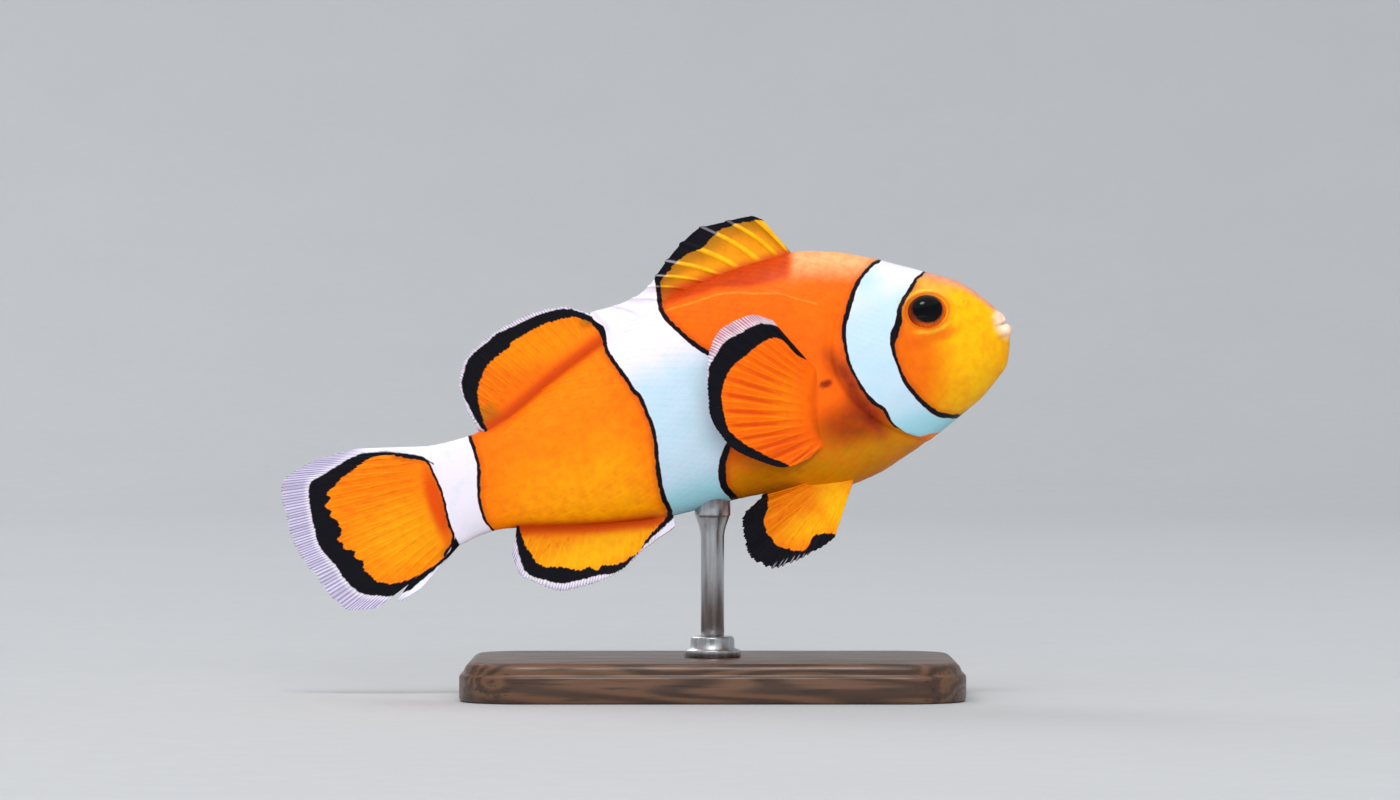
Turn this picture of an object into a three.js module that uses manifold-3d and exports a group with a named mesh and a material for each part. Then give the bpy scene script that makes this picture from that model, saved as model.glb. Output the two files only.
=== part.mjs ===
// Clownfish (Amphiprion ocellaris): a still, life-size model on a small display stand.
//
// Units are millimetres. The fish faces +X, its left side is +Y and +Z is up. The origin is at
// the middle of the stand's foot, straight under the rod. Inside the fish group a place is told
// by three sizes: `back` behind the snout, `side` from the middle plane and `up` from the body
// axis. The group then lifts the nose.

import * as THREE from 'three';
import { mergeVertices } from 'three/addons/utils/BufferGeometryUtils.js';
import Module from 'manifold-3d';

const wasm = await Module();
wasm.setup();

// ---- driving dimensions ----

const NOSE_UP = THREE.MathUtils.degToRad(17.5); // pitch of the swimming fish
const SNOUT_HEIGHT = 48; // the snout above the floor
const BODY_LENGTH = 76.8; // snout to the end of the tail stalk
const TAIL_SWING = 3; // how far the tail fin's edge swings to the left
const SWING_START = 40; // where that bend starts, behind the snout
const FISH_LENGTH = 96; // snout to the edge of the tail fin

const GAP = 0.3; // clearance between neighbouring pieces
const SKIN_GAP = 0.32; // the same, between a fin's root and the body

const FINENESS = 0.04; // slivers that the cuts leave below this size are closed up
const BODY_RINGS = 40;
const RING_CROWDING = 1.55; // above 1, the body's rings stand closer together at the snout
const FIRST_RING = 0.12; // behind the snout
const RING_POINTS = 40;
const ROUND_SIDES = 24; // of turned pieces
const SPAN = 14; // wider than the fish from its middle plane outwards

const EYE_BACK = 9.4;
const EYE_UP = 4.4;
const EYE_LONG = 5.6;
const EYE_TALL = 4.6;
const EYE_DEEP = 3.4; // the eyeball from its front to its back
const EYE_INSET = 0.7; // its middle, under the skin

const MOUTH_HALF = 1.9; // half of the mouth's width
const UPPER_LIP = { front: 0.6, up: 0.52, radius: 0.52 };
const LOWER_LIP = { front: 0.02, up: -0.86, radius: 0.62 };
const LIP_LENGTH = 2.5; // from its front to its corners
const LIP_THINNING = 0.55; // the share of its radius lost at the corners
const LIP_DROOP = 0.25; // how far the corners hang down
const LIP_FAN = 1.1; // how far its sections turn outwards, in radians
const NOSTRIL = { back: 4.4, up: 4.1, radius: 0.38, deep: 0.7 };

const RAY_RISE = 0.17; // a ray's crest above the web, on each face
const RAY_TAPER = 0.5; // the share of that lost at the tip
const RAY_SHARE = 0.56; // a ray's width against the distance to the next
const RAY_NOTCH = 0.03; // the depth of the notches between the tips, against the fin's height
const WEB_HALF = 0.26; // half of the web's thickness
const EDGE_HALF = 0.15; // the same at the edge
const THIN_FROM = 0.6; // where the web starts to thin, from 0 at the root to 1 at the edge
const ROOT_DEPTH = 1.3; // how far a fin's root goes into the body before it is cut

const PECTORAL_LIFT = { right: 27.5, left: 30 }; // degrees off the flank
const PECTORAL_CUP = 0.25; // the share of that lift lost at the edge
const PELVIC_ROOT = 1.7; // from the middle plane
const PELVIC_SPLAY = 3.4; // further out at the fin's tips
const PELVIC_FAN = 1.6; // further out at its hind end than at its front

const COVER_START = 0.8; // clear of the middle plane
const COVER_PROUD = 0.15; // the gill cover stands out of the skin
const COVER_THICK = 1.2;

const ROD_BACK = 43; // where the rod meets the belly, behind the snout
const ROD_RADIUS = 1.5;
const CUP_RADIUS = 2.3; // the rod's flared top
const CUP_HEIGHT = 3.5;
const CUP_RIM = 1; // its widest part, under the belly
const BASE = { long: 64, wide: 40, thick: 5, corner: 8, bevel: 0.8 };
const COLLAR = { radius: 3.6, height: 2.4, chamfer: 0.5 };

// ---- outlines of the body, each against `back` ----

const bodyTop = curve([
  [0, 0.9], [0.7, 2.1], [2, 4.2], [4, 6.6], [6, 8.1], [10, 10.6], [14, 13.1], [18, 15.1],
  [23, 16.7], [30, 17.1], [38, 16.6], [45, 15], [50, 13.4], [58, 10.6], [66, 7.5], [71, 6.8],
  [BODY_LENGTH, 7.3],
]);
const bodyBottom = curve([
  [0, -1.9], [0.6, -3.5], [1.6, -5.4], [3, -6.5], [6, -8.4], [10, -10], [14, -11.5],
  [18, -12.7], [22, -13.7], [26, -14], [30, -13.4], [36, -11.7], [42, -11.2], [48, -10.9],
  [56, -9.5], [62, -8], [67, -6.6], [71, -5.8], [BODY_LENGTH, -6.4],
]);
const bodyHalfWidth = curve([
  [0, 1], [0.7, 1.6], [2, 2.4], [5, 3.9], [9, 5.3], [14, 6.5], [20, 7.2], [27, 7.3], [34, 6.9],
  [42, 6], [50, 4.9], [58, 3.8], [66, 2.7], [72, 1.9], [BODY_LENGTH, 1.2],
]);
const widestUp = curve([[0, -0.4], [8, -0.8], [20, 0.2], [40, 1], [60, 0.8], [BODY_LENGTH, 0.4]]);
const ROUND_TOP = 1.9; // section exponents: 2 is an ellipse, less is narrower to the edge
const ROUND_BOTTOM = 2.15;

// The opening behind the gill covers, which also parts the head from the trunk.
const GILL_EDGE = [
  [12.6, 18], [15.6, 12.6], [19.4, 8.4], [21.9, 4.4], [22.7, 1], [22.1, -2.2], [20.6, -5.4],
  [17.8, -8.6], [14.6, -11], [11.6, -14.5],
];
const COVER_OUTLINE = [
  [14.4, 8.6], [17.2, 9.3], [19.6, 8.2], [22, 4.4], [23, 1], [22.4, -2.2], [20.8, -5.6],
  [17.6, -8.9], [15.2, -10], [13.6, -8.6], [13, -5], [12.9, 0], [13.2, 5],
];
// The mouth's line, going on as the hind edge of the lower jaw.
const JAW_LINE = [[-3, -0.14], [0.6, -0.12], [2.4, -0.35], [3.5, -1.3], [5, -4.4], [7, -10.5]];
const STALK_LINE = [[69.4, 12], [68.9, 0], [69.4, -12]];

// ---- curves, places and solids ----

// A smooth curve through points whose first numbers rise; it doesn't overshoot them.
function curve(points) {
  const steps = points.slice(1).map((p, i) => (p[1] - points[i][1]) / (p[0] - points[i][0]));
  const slopes = points.map((_, i) => {
    if (i === 0) return steps[0];
    if (i === steps.length) return steps[i - 1];
    const product = steps[i - 1] * steps[i];
    return product > 0 ? (2 * product) / (steps[i - 1] + steps[i]) : 0;
  });
  return (at) => {
    let i = 0;
    while (i < steps.length - 1 && at > points[i + 1][0]) i += 1;
    const width = points[i + 1][0] - points[i][0];
    const u = THREE.MathUtils.clamp((at - points[i][0]) / width, 0, 1);
    const ease = u * u * (3 - 2 * u);
    const lead = u * (1 - u) * (1 - u) * slopes[i] - u * u * (1 - u) * slopes[i + 1];
    return points[i][1] * (1 - ease) + points[i + 1][1] * ease + lead * width;
  };
}

// Shares from 0 to 1, in equal steps.
function evenly(count) {
  return Array.from({ length: count + 1 }, (_, i) => i / count);
}

// The place in the fish group, on the bent middle line.
function place(back, side, up) {
  const bend = Math.max(0, (back - SWING_START) / (FISH_LENGTH - SWING_START));
  return new THREE.Vector3(-back, side + TAIL_SWING * bend * bend, up);
}

// Half of the body's width at a height, on the unbent fish.
function halfWidthAt(back, up) {
  const middle = widestUp(back);
  const above = up > middle;
  const reach = above ? bodyTop(back) - middle : middle - bodyBottom(back);
  const power = above ? ROUND_TOP : ROUND_BOTTOM;
  const level = Math.min(1, Math.abs(up - middle) / reach);
  return bodyHalfWidth(back) * (1 - level ** power) ** (1 / power);
}

// The way out of the skin at a point of one flank.
function outward(back, up, flank) {
  const reach = 0.4;
  const alongBack = halfWidthAt(back + reach, up) - halfWidthAt(back - reach, up);
  const alongUp = halfWidthAt(back, up + reach) - halfWidthAt(back, up - reach);
  return new THREE.Vector3(alongBack, flank * 2 * reach, -alongUp).normalize();
}

function meshGeometry(points, triangles) {
  const geometry = new THREE.BufferGeometry();
  geometry.setAttribute('position', new THREE.Float32BufferAttribute(
    points.flatMap((p) => [p.x, p.y, p.z]), 3));
  geometry.setIndex(triangles);
  return geometry;
}

function signedVolume(points, triangles) {
  let sum = 0;
  for (let i = 0; i < triangles.length; i += 3) {
    const [a, b, c] = [0, 1, 2].map((k) => new THREE.Vector3().fromArray(
      points, 3 * triangles[i + k]));
    sum += a.dot(b.cross(c));
  }
  return sum / 6;
}

// A closed geometry as a solid; its faces are turned outwards where they point in.
function solid(geometry) {
  const bare = geometry.clone();
  bare.deleteAttribute('normal');
  bare.deleteAttribute('uv');
  const merged = mergeVertices(bare, 1e-5);
  const points = Float32Array.from(merged.attributes.position.array);
  const triangles = Uint32Array.from(merged.index.array);
  if (signedVolume(points, triangles) < 0) triangles.reverse();
  return new wasm.Manifold(new wasm.Mesh({
    numProp: 3, vertProperties: points, triVerts: triangles,
  }));
}

// The closed surfaces of a solid, the largest first.
function pieces(whole) {
  return whole.decompose().sort((a, b) => b.volume() - a.volume());
}

// The largest closed surface, without the slivers that the cuts leave.
function geometryOf(whole) {
  const mesh = pieces(whole.asOriginal().simplify(FINENESS))[0].getMesh();
  const geometry = new THREE.BufferGeometry();
  geometry.setAttribute('position', new THREE.BufferAttribute(mesh.vertProperties, 3));
  geometry.setIndex(new THREE.BufferAttribute(mesh.triVerts, 1));
  geometry.computeVertexNormals();
  return geometry;
}

// A prism across the fish: an outline of [back, up] points, from one `side` to another.
function prism(outline, from, to) {
  const shape = new THREE.Shape(outline.map(([back, up]) => new THREE.Vector2(-back, up)));
  const geometry = new THREE.ExtrudeGeometry(shape, { depth: to - from, bevelEnabled: false });
  geometry.rotateX(Math.PI / 2); // the outline stands up, and the prism grows to -Y
  geometry.translate(0, to, 0);
  return solid(geometry);
}

// The same line moved to its right. A closed outline that runs clockwise, with `back` to the
// right and `up` upwards, shrinks by that, and a negative distance makes it grow.
function offsetLine(line, by, closed = false) {
  return line.map((point, i) => {
    const before = line[closed ? (i + line.length - 1) % line.length : Math.max(0, i - 1)];
    const after = line[closed ? (i + 1) % line.length : Math.min(line.length - 1, i + 1)];
    const run = new THREE.Vector2(after[0] - before[0], after[1] - before[1]).normalize();
    return [point[0] + run.y * by, point[1] - run.x * by];
  });
}

// A thin wall across the whole fish, along a smooth line.
function wall(line, thick, smoothness = 3) {
  const spline = new THREE.SplineCurve(line.map(([back, up]) => new THREE.Vector2(back, up)));
  const path = spline.getPoints((line.length - 1) * smoothness).map((p) => [p.x, p.y]);
  const near = offsetLine(path, thick / 2);
  const far = offsetLine(path, -thick / 2).reverse();
  return prism([...near, ...far], -SPAN, SPAN);
}

// ---- body ----

// The whole body, grown by a depth all round. Rings are closest together at the snout.
function bodySolid(grow) {
  const points = [];
  const triangles = [];
  const stretch = (BODY_LENGTH + 2 * grow) / BODY_LENGTH;
  for (let ring = 0; ring <= BODY_RINGS; ring += 1) {
    const share = (ring / BODY_RINGS) ** RING_CROWDING;
    const back = THREE.MathUtils.lerp(FIRST_RING, BODY_LENGTH, share);
    const middle = widestUp(back);
    for (let k = 0; k < RING_POINTS; k += 1) {
      const turn = (2 * Math.PI * k) / RING_POINTS;
      const [across, upright] = [Math.cos(turn), Math.sin(turn)];
      const power = 2 / (upright > 0 ? ROUND_TOP : ROUND_BOTTOM);
      const reach = upright > 0 ? bodyTop(back) - middle : middle - bodyBottom(back);
      const side = (bodyHalfWidth(back) + grow) * Math.sign(across) * Math.abs(across) ** power;
      const rise = (reach + grow) * Math.sign(upright) * Math.abs(upright) ** power;
      points.push(place(back * stretch - grow, side, middle + rise));
    }
  }
  const last = BODY_RINGS * RING_POINTS;
  for (let ring = 0; ring < BODY_RINGS; ring += 1) {
    for (let k = 0; k < RING_POINTS; k += 1) {
      const next = (k + 1) % RING_POINTS;
      const [a, b] = [ring * RING_POINTS + k, ring * RING_POINTS + next];
      triangles.push(a, b, a + RING_POINTS, b, b + RING_POINTS, a + RING_POINTS);
    }
  }
  const snout = points.push(place(-FIRST_RING - grow, 0, widestUp(0))) - 1;
  const end = points.push(place(BODY_LENGTH + grow, 0, widestUp(BODY_LENGTH))) - 1;
  for (let k = 0; k < RING_POINTS; k += 1) {
    const next = (k + 1) % RING_POINTS;
    triangles.push(snout, next, k, end, last + k, last + next);
  }
  return solid(meshGeometry(points, triangles));
}

// A lip: a tapering roll bent round the front of the jaw.
function lip({ front, up, radius }) {
  const steps = 14;
  const around = 8;
  const points = [];
  const triangles = [];
  for (let i = 0; i <= steps; i += 1) {
    const bow = (2 * i) / steps - 1;
    const thick = radius * (1 - LIP_THINNING * bow * bow);
    const middle = place(front + LIP_LENGTH * bow * bow,
      MOUTH_HALF * Math.sin((bow * Math.PI) / 2), up - LIP_DROOP * bow * bow);
    const out = new THREE.Vector3(Math.cos(bow * LIP_FAN), Math.sin(bow * LIP_FAN), 0);
    for (let k = 0; k < around; k += 1) {
      const turn = (2 * Math.PI * k) / around;
      const rise = new THREE.Vector3(0, 0, thick * Math.sin(turn));
      points.push(middle.clone().addScaledVector(out, thick * Math.cos(turn)).add(rise));
    }
  }
  for (let i = 0; i < steps; i += 1) {
    for (let k = 0; k < around; k += 1) {
      const [a, b] = [i * around + k, i * around + ((k + 1) % around)];
      triangles.push(a, b, a + around, b, b + around, a + around);
    }
  }
  for (let k = 1; k < around - 1; k += 1) {
    const tail = steps * around;
    triangles.push(0, k + 1, k, tail, tail + k, tail + k + 1);
  }
  return solid(meshGeometry(points, triangles));
}

// A ball flattened against the head, as large as the eye and grown by a gap.
function eyeBall(flank, grow = 0) {
  const geometry = new THREE.SphereGeometry(1, 20, 14);
  geometry.scale(EYE_LONG / 2 + grow, EYE_DEEP / 2 + grow, EYE_TALL / 2 + grow);
  const out = outward(EYE_BACK, EYE_UP, flank);
  const turn = new THREE.Quaternion().setFromUnitVectors(new THREE.Vector3(0, flank, 0), out);
  const middle = place(EYE_BACK, flank * halfWidthAt(EYE_BACK, EYE_UP), EYE_UP);
  middle.addScaledVector(out, -EYE_INSET);
  geometry.applyMatrix4(new THREE.Matrix4().compose(middle, turn, new THREE.Vector3(1, 1, 1)));
  return solid(geometry);
}

function nostril(flank) {
  const { back, up, radius, deep } = NOSTRIL;
  const geometry = new THREE.CylinderGeometry(radius, radius * 0.6, 2 * deep, 10);
  const out = outward(back, up, flank);
  const turn = new THREE.Quaternion().setFromUnitVectors(new THREE.Vector3(0, 1, 0), out);
  const middle = place(back, flank * halfWidthAt(back, up), up);
  geometry.applyMatrix4(new THREE.Matrix4().compose(middle, turn, new THREE.Vector3(1, 1, 1)));
  return solid(geometry);
}

const body = bodySolid(0);
const bodyOutside = bodySolid(SKIN_GAP);
const coverOutside = bodySolid(COVER_PROUD);
const coverInside = bodySolid(-COVER_THICK);
const pocketInside = bodySolid(-COVER_THICK - GAP);
const gillWall = wall(GILL_EDGE, GAP);

function flankPrism(outline, flank) {
  const across = [flank * COVER_START, flank * SPAN].sort((a, b) => a - b);
  return prism(outline, ...across);
}

// A plate that follows the skin and stands a little proud of it.
function gillCover(flank) {
  const plate = flankPrism(COVER_OUTLINE, flank);
  return pieces(plate.intersect(coverOutside).subtract(coverInside).subtract(gillWall))[0];
}

// The room that a gill cover needs in the head, with the gap round it.
function gillPocket(flank) {
  return flankPrism(offsetLine(COVER_OUTLINE, -GAP, true), flank).subtract(pocketInside);
}

const [trunkAndTail, front] = pieces(body.subtract(gillWall));
const [trunk, tailStalk] = pieces(trunkAndTail.subtract(wall(STALK_LINE, GAP)));

const lips = lip(UPPER_LIP).add(lip(LOWER_LIP));
let headSolid = front.add(lips);
for (const flank of [-1, 1]) {
  headSolid = headSolid.subtract(gillPocket(flank));
  headSolid = headSolid.subtract(eyeBall(flank, GAP));
  headSolid = headSolid.subtract(nostril(flank));
}
const [head, lowerJaw] = pieces(headSolid.subtract(wall(JAW_LINE, GAP)));

// ---- fins ----

// The rays of a fin, spread from its front edge to its hind edge: narrow ridges that stand out
// of the web on both faces. Each has its crest and its two feet among the fin's columns, and
// a wide web has `extra` columns more, so that its edge stays round.
function raySpread(count, extra = 0) {
  const foot = RAY_SHARE / 2 / count;
  const crests = evenly(count - 1).map((share) => THREE.MathUtils.lerp(foot, 1 - foot, share));
  const spare = crests[1] - crests[0] - 2 * foot;
  const web = Array.from({ length: extra }, (_, i) => foot + (spare * (i + 1)) / (extra + 1));
  const columns = crests.flatMap((crest, i) => [
    crest - foot, crest, crest + foot, ...(i < count - 1 ? web.map((by) => crest + by) : []),
  ]);
  const ridge = (along) => Math.max(
    0, 1 - Math.min(...crests.map((crest) => Math.abs(along - crest))) / foot);
  return { columns, ridge };
}

// A fin between a root line and an edge line, both told by `along`, from 0 at its front to 1 at
// its hind end. `spot(along, out)` is a point of its middle surface, with out from 0 at the
// root to 1 at the edge, and `web(out)` is half of the web's thickness there. The web is
// notched between the rays' tips. Both faces are split alike.
function finSolid({ rays, rows, spot, web, rise = RAY_RISE, notch = RAY_NOTCH }) {
  const points = [[], []];
  const step = 0.004; // for the slopes
  for (const level of evenly(rows)) {
    for (const along of rays.columns) {
      const ridge = rays.ridge(along);
      const out = level * (1 - notch * (1 - ridge) * level);
      const here = spot(along, out);
      const a = spot(along + step, out).sub(spot(along - step, out));
      const b = spot(along, out + step).sub(spot(along, out - step));
      const normal = a.cross(b).normalize();
      const depth = web(out) + rise * ridge * (1 - RAY_TAPER * out);
      points[0].push(here.clone().addScaledVector(normal, depth));
      points[1].push(here.clone().addScaledVector(normal, -depth));
    }
  }
  const count = rays.columns.length;
  const total = points[0].length;
  const triangles = [];
  for (let row = 0; row < rows; row += 1) {
    for (let i = 0; i < count - 1; i += 1) {
      const a = row * count + i;
      const [b, c, d] = [a + 1, a + count, a + count + 1];
      triangles.push(a, b, c, b, d, c);
      triangles.push(total + a, total + c, total + b, total + b, total + c, total + d);
    }
  }
  const rim = [];
  for (let i = 0; i < count - 1; i += 1) rim.push([i + 1, i]);
  for (let row = 0; row < rows; row += 1) rim.push([row * count, (row + 1) * count]);
  for (let i = 0; i < count - 1; i += 1) rim.push([rows * count + i, rows * count + i + 1]);
  for (let row = rows; row > 0; row -= 1) {
    rim.push([(row + 1) * count - 1, row * count - 1]);
  }
  for (const [a, b] of rim) triangles.push(a, b, total + a, b, total + b, total + a);
  return solid(meshGeometry([...points[0], ...points[1]], triangles));
}

// Half of the web's thickness: even, thinner at the edge and fuller by `flesh` at the root.
function webOf(flesh, fall) {
  return (out) => {
    const thinning = Math.max(0, (out - THIN_FROM) / (1 - THIN_FROM));
    return THREE.MathUtils.lerp(WEB_HALF, EDGE_HALF, thinning) + flesh * (1 - out) ** fall;
  };
}

// Waves along a fin that grow from its root to its edge.
function ripple(size, waves) {
  return (along, out) => size * out * Math.sin(along * waves * 2 * Math.PI);
}

// A fin cut back to the skin: the part outside the body.
function rooted(fin) {
  return pieces(fin.subtract(bodyOutside))[0];
}

// A fin in the middle plane: lines against `along` give its root and its edge.
function medianFin({ rootBack, rootUp, edgeBack, edgeUp, lean, ...make }) {
  return rooted(finSolid({
    ...make,
    spot: (along, out) => place(
      THREE.MathUtils.lerp(rootBack(along), edgeBack(along), out),
      lean(along, out),
      THREE.MathUtils.lerp(rootUp(along), edgeUp(along), out)),
  }));
}

const spinyRootBack = (along) => THREE.MathUtils.lerp(23.4, 49.4, along);
const spinyFin = medianFin({
  rays: raySpread(10),
  rows: 4,
  rise: 0.24,
  notch: 0.07,
  rootBack: spinyRootBack,
  rootUp: (along) => bodyTop(spinyRootBack(along)) - ROOT_DEPTH,
  edgeBack: curve([[0, 26], [0.12, 28.9], [0.23, 32.8], [0.43, 38.2], [0.63, 42.6], [0.83, 47],
    [1, 50]]),
  edgeUp: curve([[0, 22.3], [0.1, 23.2], [0.25, 23.6], [0.33, 22.9], [0.43, 21.4], [0.53, 19.8],
    [0.65, 18.2], [0.8, 17.1], [1, 17]]),
  lean: ripple(0.35, 1.4),
  web: webOf(0.2, 1),
});

const softRootBack = (along) => THREE.MathUtils.lerp(49.9, 68, along);
const softLean = -1.1; // its edge leans to the right
const softRipple = ripple(0.3, 1.3);
const softFin = medianFin({
  rays: raySpread(14),
  rows: 4,
  rootBack: softRootBack,
  rootUp: (along) => bodyTop(softRootBack(along)) - ROOT_DEPTH,
  edgeBack: curve([[0, 50.5], [0.1, 54], [0.25, 58.3], [0.4, 62.2], [0.55, 65.6], [0.7, 68.3],
    [0.82, 69.5], [0.92, 69.4], [1, 68.6]]),
  edgeUp: curve([[0, 17.1], [0.1, 19.2], [0.2, 19.5], [0.4, 18.8], [0.55, 17.6], [0.7, 15.5],
    [0.82, 12.9], [0.92, 10.2], [1, 7.9]]),
  lean: (along, out) => softLean * out * out + softRipple(along, out),
  web: webOf(0.2, 1),
});

const analRootBack = (along) => THREE.MathUtils.lerp(48, 67.4, along);
const analLean = -2.4;
const analFin = medianFin({
  rays: raySpread(13),
  rows: 4,
  rootBack: analRootBack,
  rootUp: (along) => bodyBottom(analRootBack(along)) + ROOT_DEPTH,
  edgeBack: curve([[0, 48.4], [0.15, 53], [0.3, 57.2], [0.45, 61.2], [0.6, 64.8], [0.72, 67.4],
    [0.85, 69.4], [0.94, 69.5], [1, 68.2]]),
  edgeUp: curve([[0, -12.3], [0.15, -13.8], [0.3, -15.7], [0.42, -16.1], [0.6, -15.7],
    [0.72, -14], [0.85, -11.7], [0.94, -9.6], [1, -7.1]]),
  lean: (along, out) => analLean * out * out * Math.sin(Math.PI * Math.min(1, along + 0.1)),
  web: webOf(0.2, 1),
});

const tailSlot = [[86.1, -8.7], [88.2, -11.5], [86.6, -11.5]]; // a short tear in its lower edge
const tailCurl = 0.6; // its upper edge to the left, its lower edge to the right
const tailFin = medianFin({
  rays: raySpread(16),
  rows: 5,
  notch: 0.015,
  rootBack: () => BODY_LENGTH - ROOT_DEPTH,
  rootUp: (along) => THREE.MathUtils.lerp(7.1, -6.2, along),
  edgeBack: curve([[0, 84.5], [0.08, 89.6], [0.16, 93.4], [0.26, 95.1], [0.5, 95.4],
    [0.64, 94.6], [0.76, 92.7], [0.85, 89.8], [0.93, 86.5], [1, 82]]),
  edgeUp: curve([[0, 9.7], [0.08, 9.7], [0.16, 8.6], [0.26, 5.6], [0.5, -0.6], [0.64, -4.2],
    [0.76, -8.4], [0.85, -10.3], [0.93, -10.7], [1, -10.1]]),
  lean: (along, out) => tailCurl * out * out * Math.cos(along * Math.PI),
  web: webOf(0.75, 3),
}).subtract(prism(tailSlot, -SPAN, SPAN));

// The pectoral fin: a fan from the flank, lifted away from it.
function pectoralFin(flank, liftDegrees) {
  const lift = Math.tan(THREE.MathUtils.degToRad(liftDegrees));
  const rootBack = (along) => THREE.MathUtils.lerp(25.9, 27.8, along);
  const rootUp = (along) => THREE.MathUtils.lerp(0.4, -7.5, along);
  const edgeBack = curve([[0, 28.7], [0.12, 31], [0.25, 34.6], [0.38, 37.4], [0.5, 39],
    [0.62, 39.8], [0.74, 38.8], [0.86, 35.5], [0.94, 32.3], [1, 29]]);
  const edgeUp = curve([[0, 9.2], [0.14, 10.6], [0.25, 10.2], [0.38, 8.1], [0.5, 4.2],
    [0.62, 0], [0.74, -4], [0.86, -7.5], [0.94, -9.2], [1, -8.8]]);
  return rooted(finSolid({
    rays: raySpread(15),
    rows: 5,
    spot: (along, out) => {
      const back = THREE.MathUtils.lerp(rootBack(along), edgeBack(along), out);
      const up = THREE.MathUtils.lerp(rootUp(along), edgeUp(along), out);
      const skin = halfWidthAt(rootBack(along), rootUp(along));
      const reach = Math.hypot(back - rootBack(along), up - rootUp(along));
      const rise = lift * reach * (1 - PECTORAL_CUP * out);
      return place(back, flank * (skin - ROOT_DEPTH * (1 - out) + rise), up);
    },
    web: webOf(0.45, 3),
  }));
}

// The pelvic fin: a smaller fan under the belly, splayed to its side.
function pelvicFin(flank) {
  const rootBack = (along) => THREE.MathUtils.lerp(24.2, 29, along);
  const rootUp = (along) => THREE.MathUtils.lerp(-12.6, -12, along);
  const edgeBack = curve([[0, 29.4], [0.2, 33.2], [0.4, 37.2], [0.6, 39.8], [0.8, 39.3],
    [1, 36]]);
  const edgeUp = curve([[0, -19.7], [0.2, -20.5], [0.4, -20.8], [0.6, -18.1], [0.8, -14.3],
    [1, -11.7]]);
  return rooted(finSolid({
    rays: raySpread(6, 2),
    rows: 5,
    rise: 0.2,
    notch: 0,
    spot: (along, out) => place(
      THREE.MathUtils.lerp(rootBack(along), edgeBack(along), out),
      flank * (PELVIC_ROOT + PELVIC_SPLAY * out + PELVIC_FAN * along * out),
      THREE.MathUtils.lerp(rootUp(along), edgeUp(along), out)),
    web: webOf(0.3, 2),
  }));
}

// ---- stand ----

// From the fish group to the floor's frame: the rod comes up at the origin.
const rodUp = bodyBottom(ROD_BACK);
const fishPlace = new THREE.Vector3(
  ROD_BACK * Math.cos(NOSE_UP) + rodUp * Math.sin(NOSE_UP), 0, SNOUT_HEIGHT);
const fishTurn = new THREE.Quaternion().setFromAxisAngle(new THREE.Vector3(0, 1, 0), -NOSE_UP);
const fishFrame = new THREE.Matrix4().compose(fishPlace, fishTurn, new THREE.Vector3(1, 1, 1));
const rodTop = place(ROD_BACK, 0, rodUp).applyMatrix4(fishFrame).z;

function standBase() {
  const [x, y] = [BASE.long / 2 - BASE.bevel, BASE.wide / 2 - BASE.bevel];
  const r = BASE.corner;
  const shape = new THREE.Shape();
  shape.moveTo(x - r, -y);
  shape.absarc(x - r, r - y, r, -Math.PI / 2, 0);
  shape.absarc(x - r, y - r, r, 0, Math.PI / 2);
  shape.absarc(r - x, y - r, r, Math.PI / 2, Math.PI);
  shape.absarc(r - x, r - y, r, Math.PI, Math.PI * 1.5);
  const geometry = new THREE.ExtrudeGeometry(shape, {
    depth: BASE.thick - 2 * BASE.bevel,
    bevelThickness: BASE.bevel,
    bevelSize: BASE.bevel,
    bevelSegments: 1,
    curveSegments: 6,
  });
  geometry.translate(0, 0, BASE.bevel);
  return solid(geometry);
}

function turned(profile) {
  const outline = profile.map(([radius, z]) => new THREE.Vector2(radius, z));
  const geometry = new THREE.LatheGeometry(outline, ROUND_SIDES);
  geometry.rotateX(Math.PI / 2); // the lathe's axis stands up
  return solid(geometry);
}

function standCollar() {
  const bottom = BASE.thick + GAP;
  const top = bottom + COLLAR.height;
  const bore = ROD_RADIUS + GAP;
  return turned([
    [bore, bottom], [COLLAR.radius, bottom], [COLLAR.radius, top - COLLAR.chamfer],
    [COLLAR.radius - COLLAR.chamfer, top], [bore, top], [bore, bottom],
  ]);
}

function standRod() {
  const bottom = BASE.thick + GAP;
  const tall = rodTop + CUP_HEIGHT; // into the belly, which cuts its top to shape
  const rod = turned([
    [0, bottom], [ROD_RADIUS, bottom], [ROD_RADIUS, rodTop - CUP_HEIGHT],
    [CUP_RADIUS, rodTop - CUP_RIM], [CUP_RADIUS, tall], [0, tall],
  ]);
  return pieces(rod.subtract(bodyOutside.transform(fishFrame.elements)))[0];
}

// ---- the model ----

const finishes = {
  head: new THREE.MeshStandardMaterial({ color: 0xf2a312, roughness: 0.4, metalness: 0 }),
  flesh: new THREE.MeshStandardMaterial({ color: 0xe8670c, roughness: 0.4, metalness: 0 }),
  cover: new THREE.MeshStandardMaterial({ color: 0xe4f1f7, roughness: 0.4, metalness: 0 }),
  eye: new THREE.MeshStandardMaterial({ color: 0x120b0a, roughness: 0.1, metalness: 0 }),
  medianFin: new THREE.MeshStandardMaterial({ color: 0xe8780e, roughness: 0.5, metalness: 0 }),
  pairedFin: new THREE.MeshStandardMaterial({ color: 0xd9480c, roughness: 0.5, metalness: 0 }),
  base: new THREE.MeshStandardMaterial({ color: 0x2a1d16, roughness: 0.4, metalness: 0 }),
  metal: new THREE.MeshStandardMaterial({ color: 0xb9bcc0, roughness: 0.3, metalness: 1 }),
};

function node(name, shape, finish) {
  const mesh = new THREE.Mesh(geometryOf(shape), finish);
  mesh.name = name;
  return mesh;
}

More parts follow.
